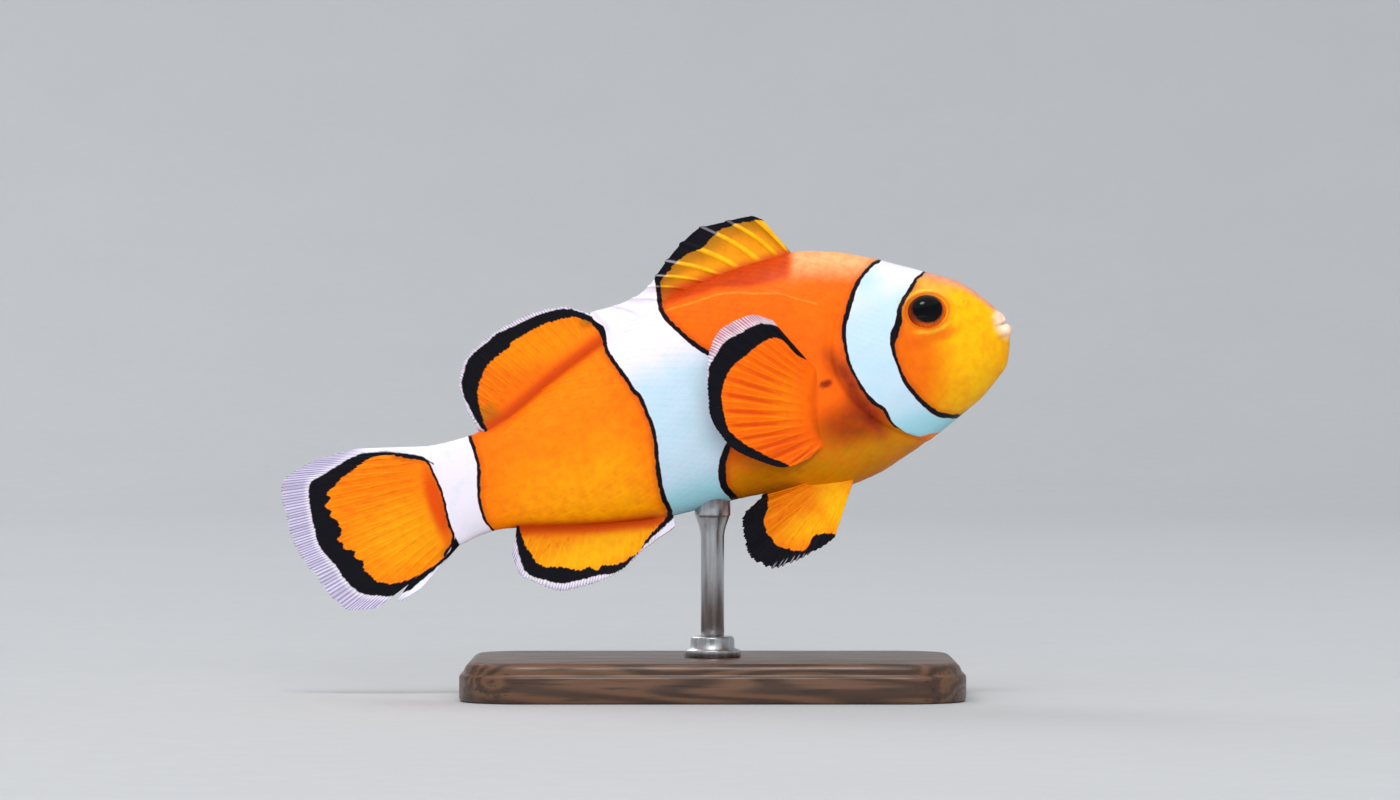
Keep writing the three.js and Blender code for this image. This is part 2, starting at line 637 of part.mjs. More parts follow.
const fish = new THREE.Group();
fish.position.copy(fishPlace);
fish.quaternion.copy(fishTurn);
fish.add(
  node('head', head, finishes.head),
  node('lower_jaw', lowerJaw, finishes.head),
  node('gill_cover_right', gillCover(-1), finishes.cover),
  node('gill_cover_left', gillCover(1), finishes.cover),
  node('trunk', trunk, finishes.flesh),
  node('tail_stalk', tailStalk, finishes.cover),
  node('eye_right', eyeBall(-1), finishes.eye),
  node('eye_left', eyeBall(1), finishes.eye),
  node('dorsal_fin_spiny', spinyFin, finishes.medianFin),
  node('dorsal_fin_soft', softFin, finishes.medianFin),
  node('anal_fin', analFin, finishes.medianFin),
  node('tail_fin', tailFin, finishes.medianFin),
  node('pectoral_fin_right', pectoralFin(-1, PECTORAL_LIFT.right), finishes.pairedFin),
  node('pectoral_fin_left', pectoralFin(1, PECTORAL_LIFT.left), finishes.pairedFin),
  node('pelvic_fin_right', pelvicFin(-1), finishes.pairedFin),
  node('pelvic_fin_left', pelvicFin(1), finishes.pairedFin),
);

const stand = new THREE.Group();
stand.add(
  node('stand_base', standBase(), finishes.base),
  node('stand_collar', standCollar(), finishes.metal),
  node('stand_rod', standRod(), finishes.metal),
);

const model = new THREE.Group();
model.add(fish, stand);

export default model;
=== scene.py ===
# %% [markdown]
# # A clownfish on a small display stand
#
# This lesson dresses a life-size ocellaris clownfish, as a museum would show it. The solids from
# the workshop give its sizes and its place on the stand. Blender adds what the eye looks for:
# lips, scales, fin rays, the white bands with their black edges, and a wet shine.
#
# The solids come in as a fixed frame. Every piece below is made in that same frame, in metres,
# so nothing has to be fitted afterwards.

# %% Load the packed model
import math

import bpy
import numpy as np
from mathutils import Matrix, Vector


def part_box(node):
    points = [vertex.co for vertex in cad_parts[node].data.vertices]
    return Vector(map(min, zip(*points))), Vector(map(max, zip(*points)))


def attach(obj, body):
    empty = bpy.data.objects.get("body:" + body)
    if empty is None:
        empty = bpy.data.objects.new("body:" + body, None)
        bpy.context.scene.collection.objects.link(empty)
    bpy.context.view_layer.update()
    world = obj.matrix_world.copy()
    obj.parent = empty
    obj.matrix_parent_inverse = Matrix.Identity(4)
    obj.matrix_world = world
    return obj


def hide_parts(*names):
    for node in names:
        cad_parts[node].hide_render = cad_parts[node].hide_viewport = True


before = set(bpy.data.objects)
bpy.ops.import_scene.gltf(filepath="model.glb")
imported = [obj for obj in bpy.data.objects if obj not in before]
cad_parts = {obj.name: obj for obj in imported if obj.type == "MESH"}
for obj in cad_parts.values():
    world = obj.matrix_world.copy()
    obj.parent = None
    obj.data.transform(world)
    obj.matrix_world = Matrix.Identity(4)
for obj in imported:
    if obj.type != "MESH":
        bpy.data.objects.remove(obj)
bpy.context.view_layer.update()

# %% [markdown]
# ## Sizes and the fish's own ruler
#
# A fish maker measures along the fish, not along the floor: how far `back` from the snout, how
# far to the `side`, and how far `up` from the body's axis. The fish swims nose up and its tail
# swings a little to the left, so one function turns those three millimetres into the model's
# metres. Everything else can then be thought of on a straight, level fish.

# %% Driving sizes, in millimetres
MM = 0.001
NOSE_UP = math.radians(17.5)
SNOUT_HEIGHT = 48
BODY_LENGTH = 76.8  # from the snout to the end of the tail stalk
FISH_LENGTH = 96  # with the tail fin
SWING_START = 40
TAIL_SWING = 3
ROD_BACK = 43
LEFT, RIGHT = 1, -1
print("life size, from snout to tail edge in mm:", FISH_LENGTH)


# %% A smooth curve through a few points
def curve(points):
    """A line through points whose first numbers rise, which doesn't overshoot them."""
    at, value = np.array(points, float).T
    width = np.diff(at)
    step = np.diff(value) / width
    both = step[:-1] * step[1:]
    total = np.where(both > 0, step[:-1] + step[1:], 1)
    slope = np.concatenate([step[:1], np.where(both > 0, 2 * both / total, 0), step[-1:]])

    def value_at(x):
        i = np.clip(np.searchsorted(at, x, side="right") - 1, 0, len(width) - 1)
        u = np.clip((x - at[i]) / width[i], 0, 1)
        blend = u * u * (3 - 2 * u)
        lead = u * (1 - u) ** 2 * slope[i] - u * u * (1 - u) * slope[i + 1]
        return value[i] * (1 - blend) + value[i + 1] * blend + lead * width[i]

    return value_at


print("halfway along a curve from 0 to 2:", float(curve([(0, 0), (1, 2)])(0.5)))


# %% The body's outline, against `back`
body_top = curve([
    (0, 0.9), (0.7, 2.1), (2, 4.2), (4, 6.6), (6, 8.1), (10, 10.6), (14, 13.1), (18, 15.1),
    (23, 16.7), (30, 17.1), (38, 16.6), (45, 15), (50, 13.4), (58, 10.6), (66, 7.5), (71, 6.8),
    (BODY_LENGTH, 7.3),
])
body_bottom = curve([
    (0, -1.9), (0.6, -3.5), (1.6, -5.4), (3, -6.5), (6, -8.4), (10, -10), (14, -11.5),
    (18, -12.7), (22, -13.7), (26, -14), (30, -13.4), (36, -11.7), (42, -11.2), (48, -10.9),
    (56, -9.5), (62, -8), (67, -6.6), (71, -5.8), (BODY_LENGTH, -6.4),
])
body_half_width = curve([
    (0, 1), (0.7, 1.6), (2, 2.4), (5, 3.9), (9, 5.3), (14, 6.5), (20, 7.2), (27, 7.3),
    (34, 6.9), (42, 6), (50, 4.9), (58, 3.8), (66, 2.7), (72, 1.9), (BODY_LENGTH, 1.2),
])
widest_up = curve([(0, -0.4), (8, -0.8), (20, 0.2), (40, 1), (60, 0.8), (BODY_LENGTH, 0.4)])
ROUND_TOP = 1.9
ROUND_BOTTOM = 2.15
print("deepest body in mm:", round(float(body_top(27) - body_bottom(27)), 1))

# %% From the fish's ruler to the model's metres
SNOUT_AHEAD = ROD_BACK * math.cos(NOSE_UP) + float(body_bottom(ROD_BACK)) * math.sin(NOSE_UP)


def to_metres(spots):
    """Places in the model's frame, from rows of back, side and up on the fish."""
    back, side, up = np.moveaxis(np.asarray(spots, float), -1, 0)
    bend = np.maximum(0, (back - SWING_START) / (FISH_LENGTH - SWING_START))
    ahead = SNOUT_AHEAD - back * math.cos(NOSE_UP) - up * math.sin(NOSE_UP)
    high = SNOUT_HEIGHT - back * math.sin(NOSE_UP) + up * math.cos(NOSE_UP)
    return np.stack([ahead, side + TAIL_SWING * bend**2, high], -1) * MM


print("snout in metres:", np.round(to_metres([0, 0, 0]), 4).tolist())


# %% Small helpers for numbers
def ease(value, low, high):
    """0 at low, 1 at high, with a soft start and end; high may be the smaller one."""
    u = np.clip((value - low) / (high - low), 0, 1)
    return u * u * (3 - 2 * u)


def bell(value, middle, width):
    """1 at the middle, falling off softly to both sides."""
    return np.exp(-(((value - middle) / width) ** 2))


def lerp(a, b, share):
    """The way from a to b, from 0 at a to 1 at b."""
    return a + (b - a) * share


def unit(vectors):
    """The same directions, each of length 1."""
    return vectors / np.maximum(np.linalg.norm(vectors, axis=-1, keepdims=True), 1e-9)


print("a soft step in quarters:", ease(np.linspace(0, 1, 5), 0, 1).round(2).tolist())

# %% [markdown]
# ## The camera
#
# A fish is told by its side view, so the camera stands level with it, on its right. It stands far
# off with a long lens, as one does for a record of a specimen: the near fin and the far one then
# keep nearly the same size, and lengths can be compared right across the view.

# %% The camera
VIEW_WIDE = 179.7  # how much of the fish's plane is in view, in millimetres
VIEW_MIDDLE = (-1.6, 38)
CAMERA_AWAY = 700

camera_data = bpy.data.cameras.new("side_camera")
camera_data.sensor_width = 36
camera_data.lens = camera_data.sensor_width * CAMERA_AWAY / VIEW_WIDE
camera = bpy.data.objects.new("side_camera", camera_data)
camera.location = (VIEW_MIDDLE[0] * MM, -CAMERA_AWAY * MM, VIEW_MIDDLE[1] * MM)
camera.rotation_euler = (math.pi / 2, 0, 0)
bpy.context.scene.collection.objects.link(camera)
bpy.context.scene.camera = camera
print("lens in mm:", round(camera_data.lens, 1))

# %% [markdown]
# ## Markings as distances
#
# The white bands and their black edges are what names this fish. They could be painted on an
# image, but an image blurs when the eye comes close. Here each edge is a line on the side view,
# and every point of the skin knows how many millimetres it lies from it. A material can cut a
# sharp edge out of that distance at any size, and the scales that lie over the skin know the
# same distances, so both carry one drawing.


# %% Lines, and how far a point lies from one
def smooth_line(points, steps=6):
    """A finer line through points that may carry further columns, such as a width."""
    knots = np.array(points, float)
    knots = np.vstack([2 * knots[0] - knots[1], knots, 2 * knots[-1] - knots[-2]])
    t = (np.arange(steps) / steps)[:, None]
    parts = []
    for a, b, c, d in zip(knots, knots[1:], knots[2:], knots[3:]):
        bend = (2 * a - 5 * b + 4 * c - d) * t**2 + (3 * b - a - 3 * c + d) * t**3
        parts.append(b + 0.5 * ((c - a) * t + bend))
    return np.vstack([*parts, knots[-2:-1]])


def beside(line, back, up):
    """The distance to a line with a sign for its side, and its last column at that place."""
    nearest = np.full(np.shape(back), np.inf)
    sign = np.ones(np.shape(back))
    carried = np.zeros(np.shape(back))
    for a, b in zip(line, line[1:]):
        run = b[:2] - a[:2]
        off_back, off_up = back - a[0], up - a[1]
        t = np.clip((off_back * run[0] + off_up * run[1]) / (run @ run), 0, 1)
        gap = np.hypot(off_back - t * run[0], off_up - t * run[1])
        closer = gap < nearest
        nearest = np.where(closer, gap, nearest)
        sign = np.where(closer, np.where(run[0] * off_up > run[1] * off_back, 1, -1), sign)
        carried = np.where(closer, lerp(a[-1], b[-1], t), carried)
    return sign * nearest, carried


print("1 mm over a level line:", float(beside(smooth_line([(0, 0), (2, 0), (4, 0)]), 2.5, 1.0)[0]))

# %% The edges of the three white bands
# Each point is back, up and the width of the black line beside the white.
BANDS = {
    "head": (
        smooth_line([
            (5, 11.5, 0.3), (8.2, 9.4, 0.3), (9.5, 8.9, 0.4), (10.5, 8.1, 0.5), (12, 6.9, 0.55),
            (13, 5.8, 0.6), (13.6, 4.5, 0.75), (14.8, 3, 1), (15.3, 1.5, 0.55), (15.3, -1, 0.4),
            (15.2, -3, 0.5), (14.6, -5, 0.6), (13.9, -6.5, 0.6), (13, -8, 0.65), (12, -9, 0.7),
            (10, -9.8, 0.5), (6, -11, 0.3),
        ]),
        smooth_line([
            (9, 15, 0.3), (12.8, 12.4, 0.35), (14, 12, 0.4), (15.5, 11.2, 0.45), (17, 9.9, 0.5),
            (18, 8.5, 0.6), (19, 7, 0.6), (20, 5.4, 0.5), (20.5, 3.5, 0.45), (20.8, 1, 0.4),
            (20.5, -1, 0.35), (20, -3, 0.45), (19.3, -4.5, 0.5), (18.2, -6, 0.45),
            (18, -7.5, 0.35), (17.3, -8.8, 0.15), (16.3, -9.9, 0), (15, -10.6, 0), (12, -11, 0),
            (7, -13, 0),
        ]),
    ),
    "middle": (
        smooth_line([
            (41.2, 21, 0.6), (41.4, 18.4, 0.6), (41.9, 16, 0.6), (42, 14.5, 0.6),
            (41.5, 13, 0.55), (40.7, 11.5, 0.55), (40, 10.2, 0.55), (38.8, 8.5, 0.6),
            (37.5, 6.8, 0.6), (36.3, 3.5, 0.6), (36, 0, 0.7), (37.2, -2.5, 0.8),
            (39.2, -4.3, 0.8), (40.5, -6, 0.9), (41.2, -8, 1), (41.2, -9.5, 0.9),
            (40.4, -11.2, 0.8), (39, -14, 0.8),
        ]),
        smooth_line([
            (50.9, 20, 0.5), (50.5, 16.6, 0.5), (49.4, 14.7, 0.5), (49.7, 12, 0.5),
            (49.3, 10.5, 0.5), (48.8, 9, 0.5), (48.3, 7.5, 0.5), (47.9, 6, 0.5), (47.4, 5, 0.5),
            (47.2, 3, 0.5), (47, 1, 0.5), (47.2, -1, 0.5), (47.6, -3, 0.5), (48, -5, 0.55),
            (48.3, -8, 0.6), (48.1, -10, 0.6), (48.2, -10.9, 0.7), (47.9, -14, 0.7),
        ]),
    ),
    "tail": (
        smooth_line([
            (70.3, 10, 0.4), (70.3, 7, 0.45), (70.2, 3.5, 0.45), (70.5, 2, 0.4), (71, 0.3, 0.4),
            (71.5, -1.5, 0.4), (71.6, -3, 0.4), (71.5, -4.5, 0.35), (71, -5.6, 0.3),
            (70.4, -8, 0.3),
        ]),
        smooth_line([
            (79.5, 7.5, 0.5), (78, 6.7, 0.5), (76.6, 5.9, 0.4), (76, 5, 0.3), (75.7, 3, 0.3),
            (75.5, 1, 0.3), (75.6, -1, 0.3), (75.8, -3, 0.3), (75.7, -4.8, 0.3),
            (76.3, -5.9, 0.3), (77.5, -6.9, 0.4),
        ]),
    ),
}
print("white bands:", ", ".join(BANDS))


# %% Distances from the bands' edges
def band_fields(back, up):
    """How far a point lies inside a white band, and how wide the black line beside it is."""
    white = np.full(np.shape(back), -np.inf)
    ink = np.zeros(np.shape(back))
    for front, rear in BANDS.values():
        behind_front, front_ink = beside(front, back, up)
        behind_rear, rear_ink = beside(rear, back, up)
        inside = np.minimum(behind_front, -behind_rear)
        width = np.where(behind_front < -behind_rear, front_ink, rear_ink)
        ink = np.where(inside > white, width, ink)
        white = np.maximum(white, inside)
    return white, ink


def band_tones(back, up):
    """The bands' distances, and how pink and how grey their white is at each point: pink for a
    painted highlight on top and the tail band's own paler white, grey for painted shade low down.
    """
    white, ink = band_fields(back, up)
    # The head band's top by the nape stays out of the painted highlight, as painted shade.
    nape = bell(back, 15.8, 2.4) * bell(up, 10.5, 3.6)
    pink = np.maximum(ease(up, 5, 11) * (1 - nape), 0.92 * ease(back, 60, 70))
    return {"white": white, "ink": ink, "pink": pink, "low": ease(up, -5.5, -9.5)}


mid_flank = band_fields(np.array([42.0]), np.array([0.0]))
print("white and black at the flank's middle in mm:", np.round(mid_flank, 2).ravel().tolist())

# %% [markdown]
# ## The skin's shape
#
# The workshop parts the body where a person would name its pieces. A real fish has one skin, so
# one mesh stands for all of them and no seam shows. It is woven of rings along the body, closest
# together at the snout, because that is where the small forms are. The fine forms are then
# pressed into it: every point moves a little along its own way out, which keeps the skin one
# closed surface and lets each form be written down by itself.


# %% The smooth body
def body_point(back, turn):
    """A point of the body: turn runs from the left flank over the back to the right flank."""
    across, upright = np.cos(turn), np.sin(turn)
    power = np.where(upright > 0, 2 / ROUND_TOP, 2 / ROUND_BOTTOM)
    middle = widest_up(back)
    reach = np.where(upright > 0, body_top(back) - middle, middle - body_bottom(back))
    side = body_half_width(back) * np.sign(across) * np.abs(across) ** power
    up = middle + reach * np.sign(upright) * np.abs(upright) ** power
    return np.stack(np.broadcast_arrays(back, side, up), -1)


def body_outward(back, turn, step=0.02):
    """The way out of the body at a point."""
    behind = np.minimum(back + 0.2, BODY_LENGTH)
    ahead = np.maximum(back - 0.2, 0.05)
    along = body_point(behind, turn) - body_point(ahead, turn)
    around = body_point(back, turn + step) - body_point(back, turn - step)
    return unit(np.cross(around, along))


def half_width_at(back, up):
    """Half of the body's width at a height."""
    middle = widest_up(back)
    reach = np.where(up > middle, body_top(back) - middle, middle - body_bottom(back))
    power = np.where(up > middle, ROUND_TOP, ROUND_BOTTOM)
    level = np.minimum(1, np.abs(up - middle) / reach)
    return body_half_width(back) * (1 - level**power) ** (1 / power)


print("widest body in mm:", round(2 * float(body_half_width(27)), 1))

# %% [markdown]
# ## The head's small forms
#
# A face is read from small things: an eye ball in its socket, a rim around it, two lips with a
# cleft between them. Each is a place and a few sizes here, and a function says how far it pushes
# the skin out or in. They could be sculpted by hand, but then no other part could ask where they
# are, and the eye's ball, its rim and its dark socket all have to agree.

# %% The eye's place on the head
EYE = {"back": 9.4, "up": 4.4, "long": 5.6, "tall": 4.6, "deep": 3.4, "inset": 0.7}


def eye_frame(flank):
    """The eye's middle and its three axes: tailwards, outwards and upwards."""
    back, up, step = EYE["back"], EYE["up"], 0.4
    along = half_width_at(back + step, up) - half_width_at(back - step, up)
    rising = half_width_at(back, up + step) - half_width_at(back, up - step)
    outward = unit(np.array([-along, flank * 2 * step, -rising]))
    upward = unit(np.array([0, 0, 1]) - outward[2] * outward)
    tailward = flank * np.cross(outward, upward)
    middle = np.array([back, flank * half_width_at(back, up), up])
    return middle - EYE["inset"] * outward, tailward, outward, upward


def eye_ring(spots):
    """1 on the eye's rim, less inside it and more outside."""
    nearest = np.full(spots.shape[:-1], np.inf)
    for flank in (LEFT, RIGHT):
        middle, tailward, _, upward = eye_frame(flank)
        off = spots - middle
        ring = np.hypot(off @ tailward / (EYE["long"] / 2), off @ upward / (EYE["tall"] / 2))
        nearest = np.where(spots[..., 1] * flank > 0, ring, nearest)
    return nearest


for flank in (LEFT, RIGHT):
    print("eye axes:", [np.round(axis, 2).tolist() for axis in eye_frame(flank)])

# %% The mouth
MOUTH_HALF = 1.9
MOUTH_POINTS = 33
MOUTH_REACH = 5
CORNER_DROP = 0.25
LIP_LENGTH = 2.5
LIP_TAPER = 0.55
LIP_SOFT = 0.16
UPPER_LIP = {"front": 0.95, "up": 0.85, "radius": 0.7}
LOWER_LIP = {"front": 0.4, "up": -1.0, "radius": 0.9}
CLEFT = {"front": 0.3, "up": -0.02, "wide": 0.17, "deep": 0.8}


def mouth_line(front, up):
    """A line bent round the front of the jaws, from the right corner to the left one."""
    bow = np.linspace(-1, 1, MOUTH_POINTS)
    side = MOUTH_HALF * np.sin(bow * math.pi / 2)
    places = np.stack([front + LIP_LENGTH * bow**2, side, up - CORNER_DROP * bow**2], -1)
    return places, np.abs(bow)


def from_line(spots, line, carried):
    """The way from the nearest point of a line in space, and what the line carries there."""
    way = np.full(spots.shape, 1e3)
    amount = np.zeros(len(spots))
    for a, b, at_a, at_b in zip(line, line[1:], carried, carried[1:]):
        run = b - a
        t = np.clip((spots - a) @ run / (run @ run), 0, 1)[:, None]
        off = spots - a - t * run
        closer = np.linalg.norm(off, axis=1) < np.linalg.norm(way, axis=1)
        way[closer] = off[closer]
        amount[closer] = lerp(at_a, at_b, t[closer, 0])
    return way, amount


def press_mouth(spots, outward):
    """The cleft pushed in, then the two lips laid over it as tapering rolls."""
    near = spots[:, 0] < MOUTH_REACH
    push = np.zeros(len(spots))
    line, bow = mouth_line(CLEFT["front"], CLEFT["up"])
    way, corner = from_line(spots[near], line, bow)
    fade = ease(np.linalg.norm(way, axis=1), 1.6, 0.6)
    push[near] = -CLEFT["deep"] * bell(way[:, 2], 0, CLEFT["wide"]) * fade * (1 - corner**2) ** 3
    for lip in (UPPER_LIP, LOWER_LIP):
        line, bow = mouth_line(lip["front"], lip["up"])
        pressed = spots[near] + outward[near] * push[near, None]
        way, corner = from_line(pressed, line, bow)
        radius = lip["radius"] * (1 - LIP_TAPER * corner**2)
        height = np.einsum("ij,ij->i", way, outward[near])
        sideways = np.sqrt(np.maximum(0, np.einsum("ij,ij->i", way, way) - height**2))
        crest = np.sqrt(np.maximum(0, radius**2 - sideways**2))
        rise = crest - height
        rounded_rise = 0.5 * (rise + np.hypot(rise, LIP_SOFT))
        push[near] += np.where(sideways < radius, rounded_rise * (1 - (sideways / radius) ** 6), 0)
    return push


print("mouth from corner to corner in mm:", 2 * MOUTH_HALF)

# %% Lines of the gill cover, the flank and the cheek
GILL_EDGE = smooth_line([
    (12.6, 18), (15.6, 12.6), (19.4, 8.4), (21.9, 4.4), (22.7, 1), (22.1, -2.2), (20.6, -5.4),
    (17.8, -8.6), (14.6, -11), (11.6, -14.5),
])
CHEEK_FOLD = smooth_line([(12.2, 6.5), (12.7, 3), (12.9, 0), (12.8, -4), (12, -7), (9.5, -8.6)])
LATERAL_LINE = smooth_line([
    (22.5, 9.4), (25.5, 11.3), (26.8, 12.2), (30, 13.2), (32, 14), (34.5, 14.45), (38, 14.4),
    (41.3, 14.4), (46, 12.7), (50, 11),
])
GILL_SHADE = smooth_line([
    (23.3, 4.4, 0.15), (23, 2.8, 0.6), (22.5, 1.1, 0.9), (21.9, 0, 1), (21.5, -1.2, 1),
    (21.4, -3, 1), (21, -4.3, 1), (20.5, -5.7, 1), (20.1, -7, 0.95), (19.6, -8.6, 0.6),
])
JAW_FOLD = smooth_line([(2.6, -0.6), (3.2, -1.1), (3.7, -2), (4, -2.9)])
NOSTRIL = {"back": 4.4, "up": 4.1, "radius": 0.28}
print("points on the gill cover's edge:", len(GILL_EDGE))

# %% How these forms press into the skin
# How far each form stands out of the smooth body or is sunk into it, in millimetres.
FORMS = {
    "eye_rim": 0.2, "eye_socket": 0.75, "eye_fold": 0.07, "gill_step": 0.2, "gill_groove": 0.24,
    "cheek_fold": 0.1, "jaw_fold": 0.05, "nostril_rim": 0.05, "nostril": 0.2, "lateral_line": 0.05,
    "fin_lobe": 0.15, "ripples": 0.03,
}


def press_skin(spots, outward):
    """How far each point of the smooth body moves along its way out, in millimetres."""
    back, side, up = spots.T
    push = press_mouth(spots, outward)

    ring = eye_ring(spots)
    push += FORMS["eye_rim"] * bell(ring, 1.12, 0.13)
    push -= FORMS["eye_socket"] * ease(ring, 0.98, 0.72)
    push -= FORMS["eye_fold"] * bell(ring, 1.42, 0.12)

    behind_gill, _ = beside(GILL_EDGE, back, up)
    open_gill = ease(up, 9.5, 7) * ease(up, -12.5, -10)
    cover = np.where(behind_gill < 0, np.exp(behind_gill / 3.5), ease(behind_gill, 0.5, 0))
    groove = FORMS["gill_groove"] * bell(behind_gill, 0.7, 0.6)
    push += open_gill * (FORMS["gill_step"] * cover - groove)

    fold, _ = beside(CHEEK_FOLD, back, up)
    push -= FORMS["cheek_fold"] * bell(fold, 0, 0.4)
    jaw, _ = beside(JAW_FOLD, back, up)
    push -= FORMS["jaw_fold"] * bell(jaw, 0, 0.3) * ease(np.abs(side), 0.8, 1.4)

    hole = np.hypot(back - NOSTRIL["back"], up - NOSTRIL["up"]) / NOSTRIL["radius"]
    push += FORMS["nostril_rim"] * bell(hole, 1.25, 0.4) - FORMS["nostril"] * bell(hole, 0, 0.6)

    lateral, _ = beside(LATERAL_LINE, back, up)
    push += FORMS["lateral_line"] * bell(lateral, 0, 0.3)

    lobe = np.hypot((back - 27.2) / 2.6, (up + 3.6) / 5)
    push += FORMS["fin_lobe"] * ease(lobe, 1.2, 0.1)
    ripples = np.sin(back * 0.9 + up * 0.5) * np.sin(up * 1.1 - back * 0.3)
    push += FORMS["ripples"] * ripples * ease(back, 3, 8)
    return push


print("forms pressed into the skin:", ", ".join(FORMS))

# %% Rings from the snout to the tail
COLUMNS = 288
NOSE_RINGS = 12
NOSE_DEEP = 0.3
END_RINGS = 10
END_LENGTH = 2.6
FIRST_RING = 0.12
ring_backs = np.concatenate([
    np.arange(FIRST_RING, 3, 0.08), np.arange(3, 6, 0.11), np.arange(6, 25, 0.19),
    np.linspace(25, BODY_LENGTH, 120),
])
turns = np.arange(COLUMNS) * 2 * math.pi / COLUMNS
smooth_body = body_point(ring_backs[:, None], turns[None, :])
ways_out = body_outward(ring_backs[:, None], turns[None, :])

nose_shares = (np.arange(1, NOSE_RINGS) / NOSE_RINGS)[:, None, None]
pole = np.array([FIRST_RING, 0, float(widest_up(0))])
nose = lerp(pole, smooth_body[0], nose_shares)
nose[..., 0] -= NOSE_DEEP * np.sqrt(1 - nose_shares[..., 0] ** 2)
nose_out = unit(lerp(np.array([-1.0, 0, 0]), ways_out[0], nose_shares**2))
print("rings:", len(ring_backs) + NOSE_RINGS + END_RINGS, "of", COLUMNS, "points")

# %% Press the forms in
SKIN_INSET = 0.04
pressed_body = np.concatenate([nose, smooth_body])
pressed_out = np.concatenate([nose_out, ways_out])
flat = pressed_body.reshape(-1, 3)
flat_out = pressed_out.reshape(-1, 3)
push = press_skin(flat, flat_out)
skin_rings = (flat + flat_out * (push - SKIN_INSET)[:, None]).reshape(pressed_body.shape)
print("pressed in and out by mm:", round(push.min(), 2), round(push.max(), 2))

# %% Close the tail end inside the tail fin
end_shares = np.arange(1, END_RINGS + 1) / END_RINGS
end_rings = []
for share in end_shares:
    ring = skin_rings[-1].copy()
    ring[:, 0] += END_LENGTH * share
    ring[:, 1] *= lerp(1, 0.08, share)
    ring[:, 2] *= lerp(1, 0.96, share)
    end_rings.append(ring)
skin_rings = np.concatenate([skin_rings, end_rings])
print("rings with the closed end:", len(skin_rings))

# %% [markdown]
# ## From numbers to a mesh
#
# A mesh made from arrays is quick to build and the same on every run. Each point also carries
# its measured distances and soft areas, as named attributes that the materials read. Nearly all
# of a fish is smooth, so the faces are shaded smooth, and only a piece with thin, cut rims, such
# as a plate of scales, has its sharp edges marked so that the light doesn't blur over them.


# %% Build a piece
SHARP_ANGLE = math.radians(60)


def inside_out(mesh):
    """Whether a closed mesh's faces look inwards, from the sign of the volume they enclose."""
    mesh.calc_loop_triangles()
    corners = np.empty(len(mesh.loop_triangles) * 3, int)
    mesh.loop_triangles.foreach_get("vertices", corners)
    places = np.empty(len(mesh.vertices) * 3)
    mesh.vertices.foreach_get("co", places)
    a, b, c = np.moveaxis(places.reshape(-1, 3)[corners.reshape(-1, 3)], 1, 0)
    return np.einsum("ij,ij->", a, np.cross(b, c)) < 0


def make_piece(name, places, faces, finish, slot, fields=None, stands_for=(), crisp=False):
    """A piece in metres that rides with the model, with its fields as attributes."""
    mesh = bpy.data.meshes.new(name)
    mesh.from_pydata(places.tolist(), [], faces)
    mesh.polygons.foreach_set("use_smooth", [True] * len(faces))
    if inside_out(mesh):
        mesh.flip_normals()
    if crisp:
        mesh.set_sharp_from_angle(angle=SHARP_ANGLE)
    for field, values in (fields or {}).items():
        mesh.attributes.new(field, "FLOAT", "POINT").data.foreach_set("value", values.ravel())
    mesh.materials.append(finish)
    piece = bpy.data.objects.new(name, mesh)
    bpy.context.scene.collection.objects.link(piece)
    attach(piece, "root")
    if stands_for:
        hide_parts(*stands_for)
    print(name, "faces:", len(mesh.polygons))
    return piece


# %% Faces between points
def grid_faces(rows, columns, closed=False, start=0):
    """Squares between the points of a grid, whose rows may close on themselves."""
    row, column = np.meshgrid(np.arange(rows - 1), np.arange(columns if closed else columns - 1))
    row, column = row.T.ravel(), column.T.ravel()
    beyond = (column + 1) % columns
    corners = [row * columns + column, row * columns + beyond,
               (row + 1) * columns + beyond, (row + 1) * columns + column]
    return (np.stack(corners, -1) + start).tolist()


def fanned_faces(rings, columns):
    """Rings closed by a fan at each end, whose two tips come after the rings' points."""
    faces = grid_faces(rings, columns, closed=True)
    tip, last = rings * columns, (rings - 1) * columns
    for column in range(columns):
        beyond = (column + 1) % columns
        faces.append([tip, beyond, column])
        faces.append([tip + 1, last + column, last + beyond])
    return faces


def lidded_faces(rings, columns):
    """Rings closed by one flat face at each end."""
    last = (rings - 1) * columns
    lids = [[*range(columns)][::-1], [last + column for column in range(columns)]]
    return grid_faces(rings, columns, closed=True) + lids


def sheet_faces(rows, columns):
    """A thin sheet: a grid of points, as many again behind it, and the rim between the two."""
    size = rows * columns
    rim = [*range(columns), *range(2 * columns - 1, size, columns)]
    rim += [*range(size - 2, size - columns - 1, -1), *range(size - 2 * columns, 0, -columns)]
    faces = grid_faces(rows, columns)
    faces += [face[::-1] for face in grid_faces(rows, columns, start=size)]
    return faces + [[b, a, a + size, b + size] for a, b in zip(rim, rim[1:] + rim[:1])]


print("faces of a sheet of 4 by 5 points:", len(sheet_faces(4, 5)))

# %% [markdown]
# ## Where the skin changes colour
#
# Live clownfish aren't one orange. The snout is yellow, the cheek behind the eye deepens to red
# orange, the sheath under the dorsal fin is a dark red orange, deepened by painted shade, and the
# belly is ochre. Light and shade are painted in as well: a painted highlight on the back in front
# of the dorsal fin and on the forehead's top, and painted shade in the gill opening, round the
# eye and in the fins' folds. Each of these is a soft area told by its middle and its reach on the
# side view.


# %% Soft areas
def area(back, up, middle, reach, soft=0.5):
    """1 in the middle of an oval, 0 outside it."""
    away = np.hypot((back - middle[0]) / reach[0], (up - middle[1]) / reach[1])
    return ease(away, 1 + soft, 1 - soft)


sheath_floor = curve([(23, 12.6), (26, 13.2), (30, 13.5), (34.5, 14.6), (38, 14.6), (42, 14.6)])


def sheath_front(up):
    """Where the back's painted highlight ends and the sheath starts, slanting down and back."""
    return 23.7 + 0.4 * (17 - up)


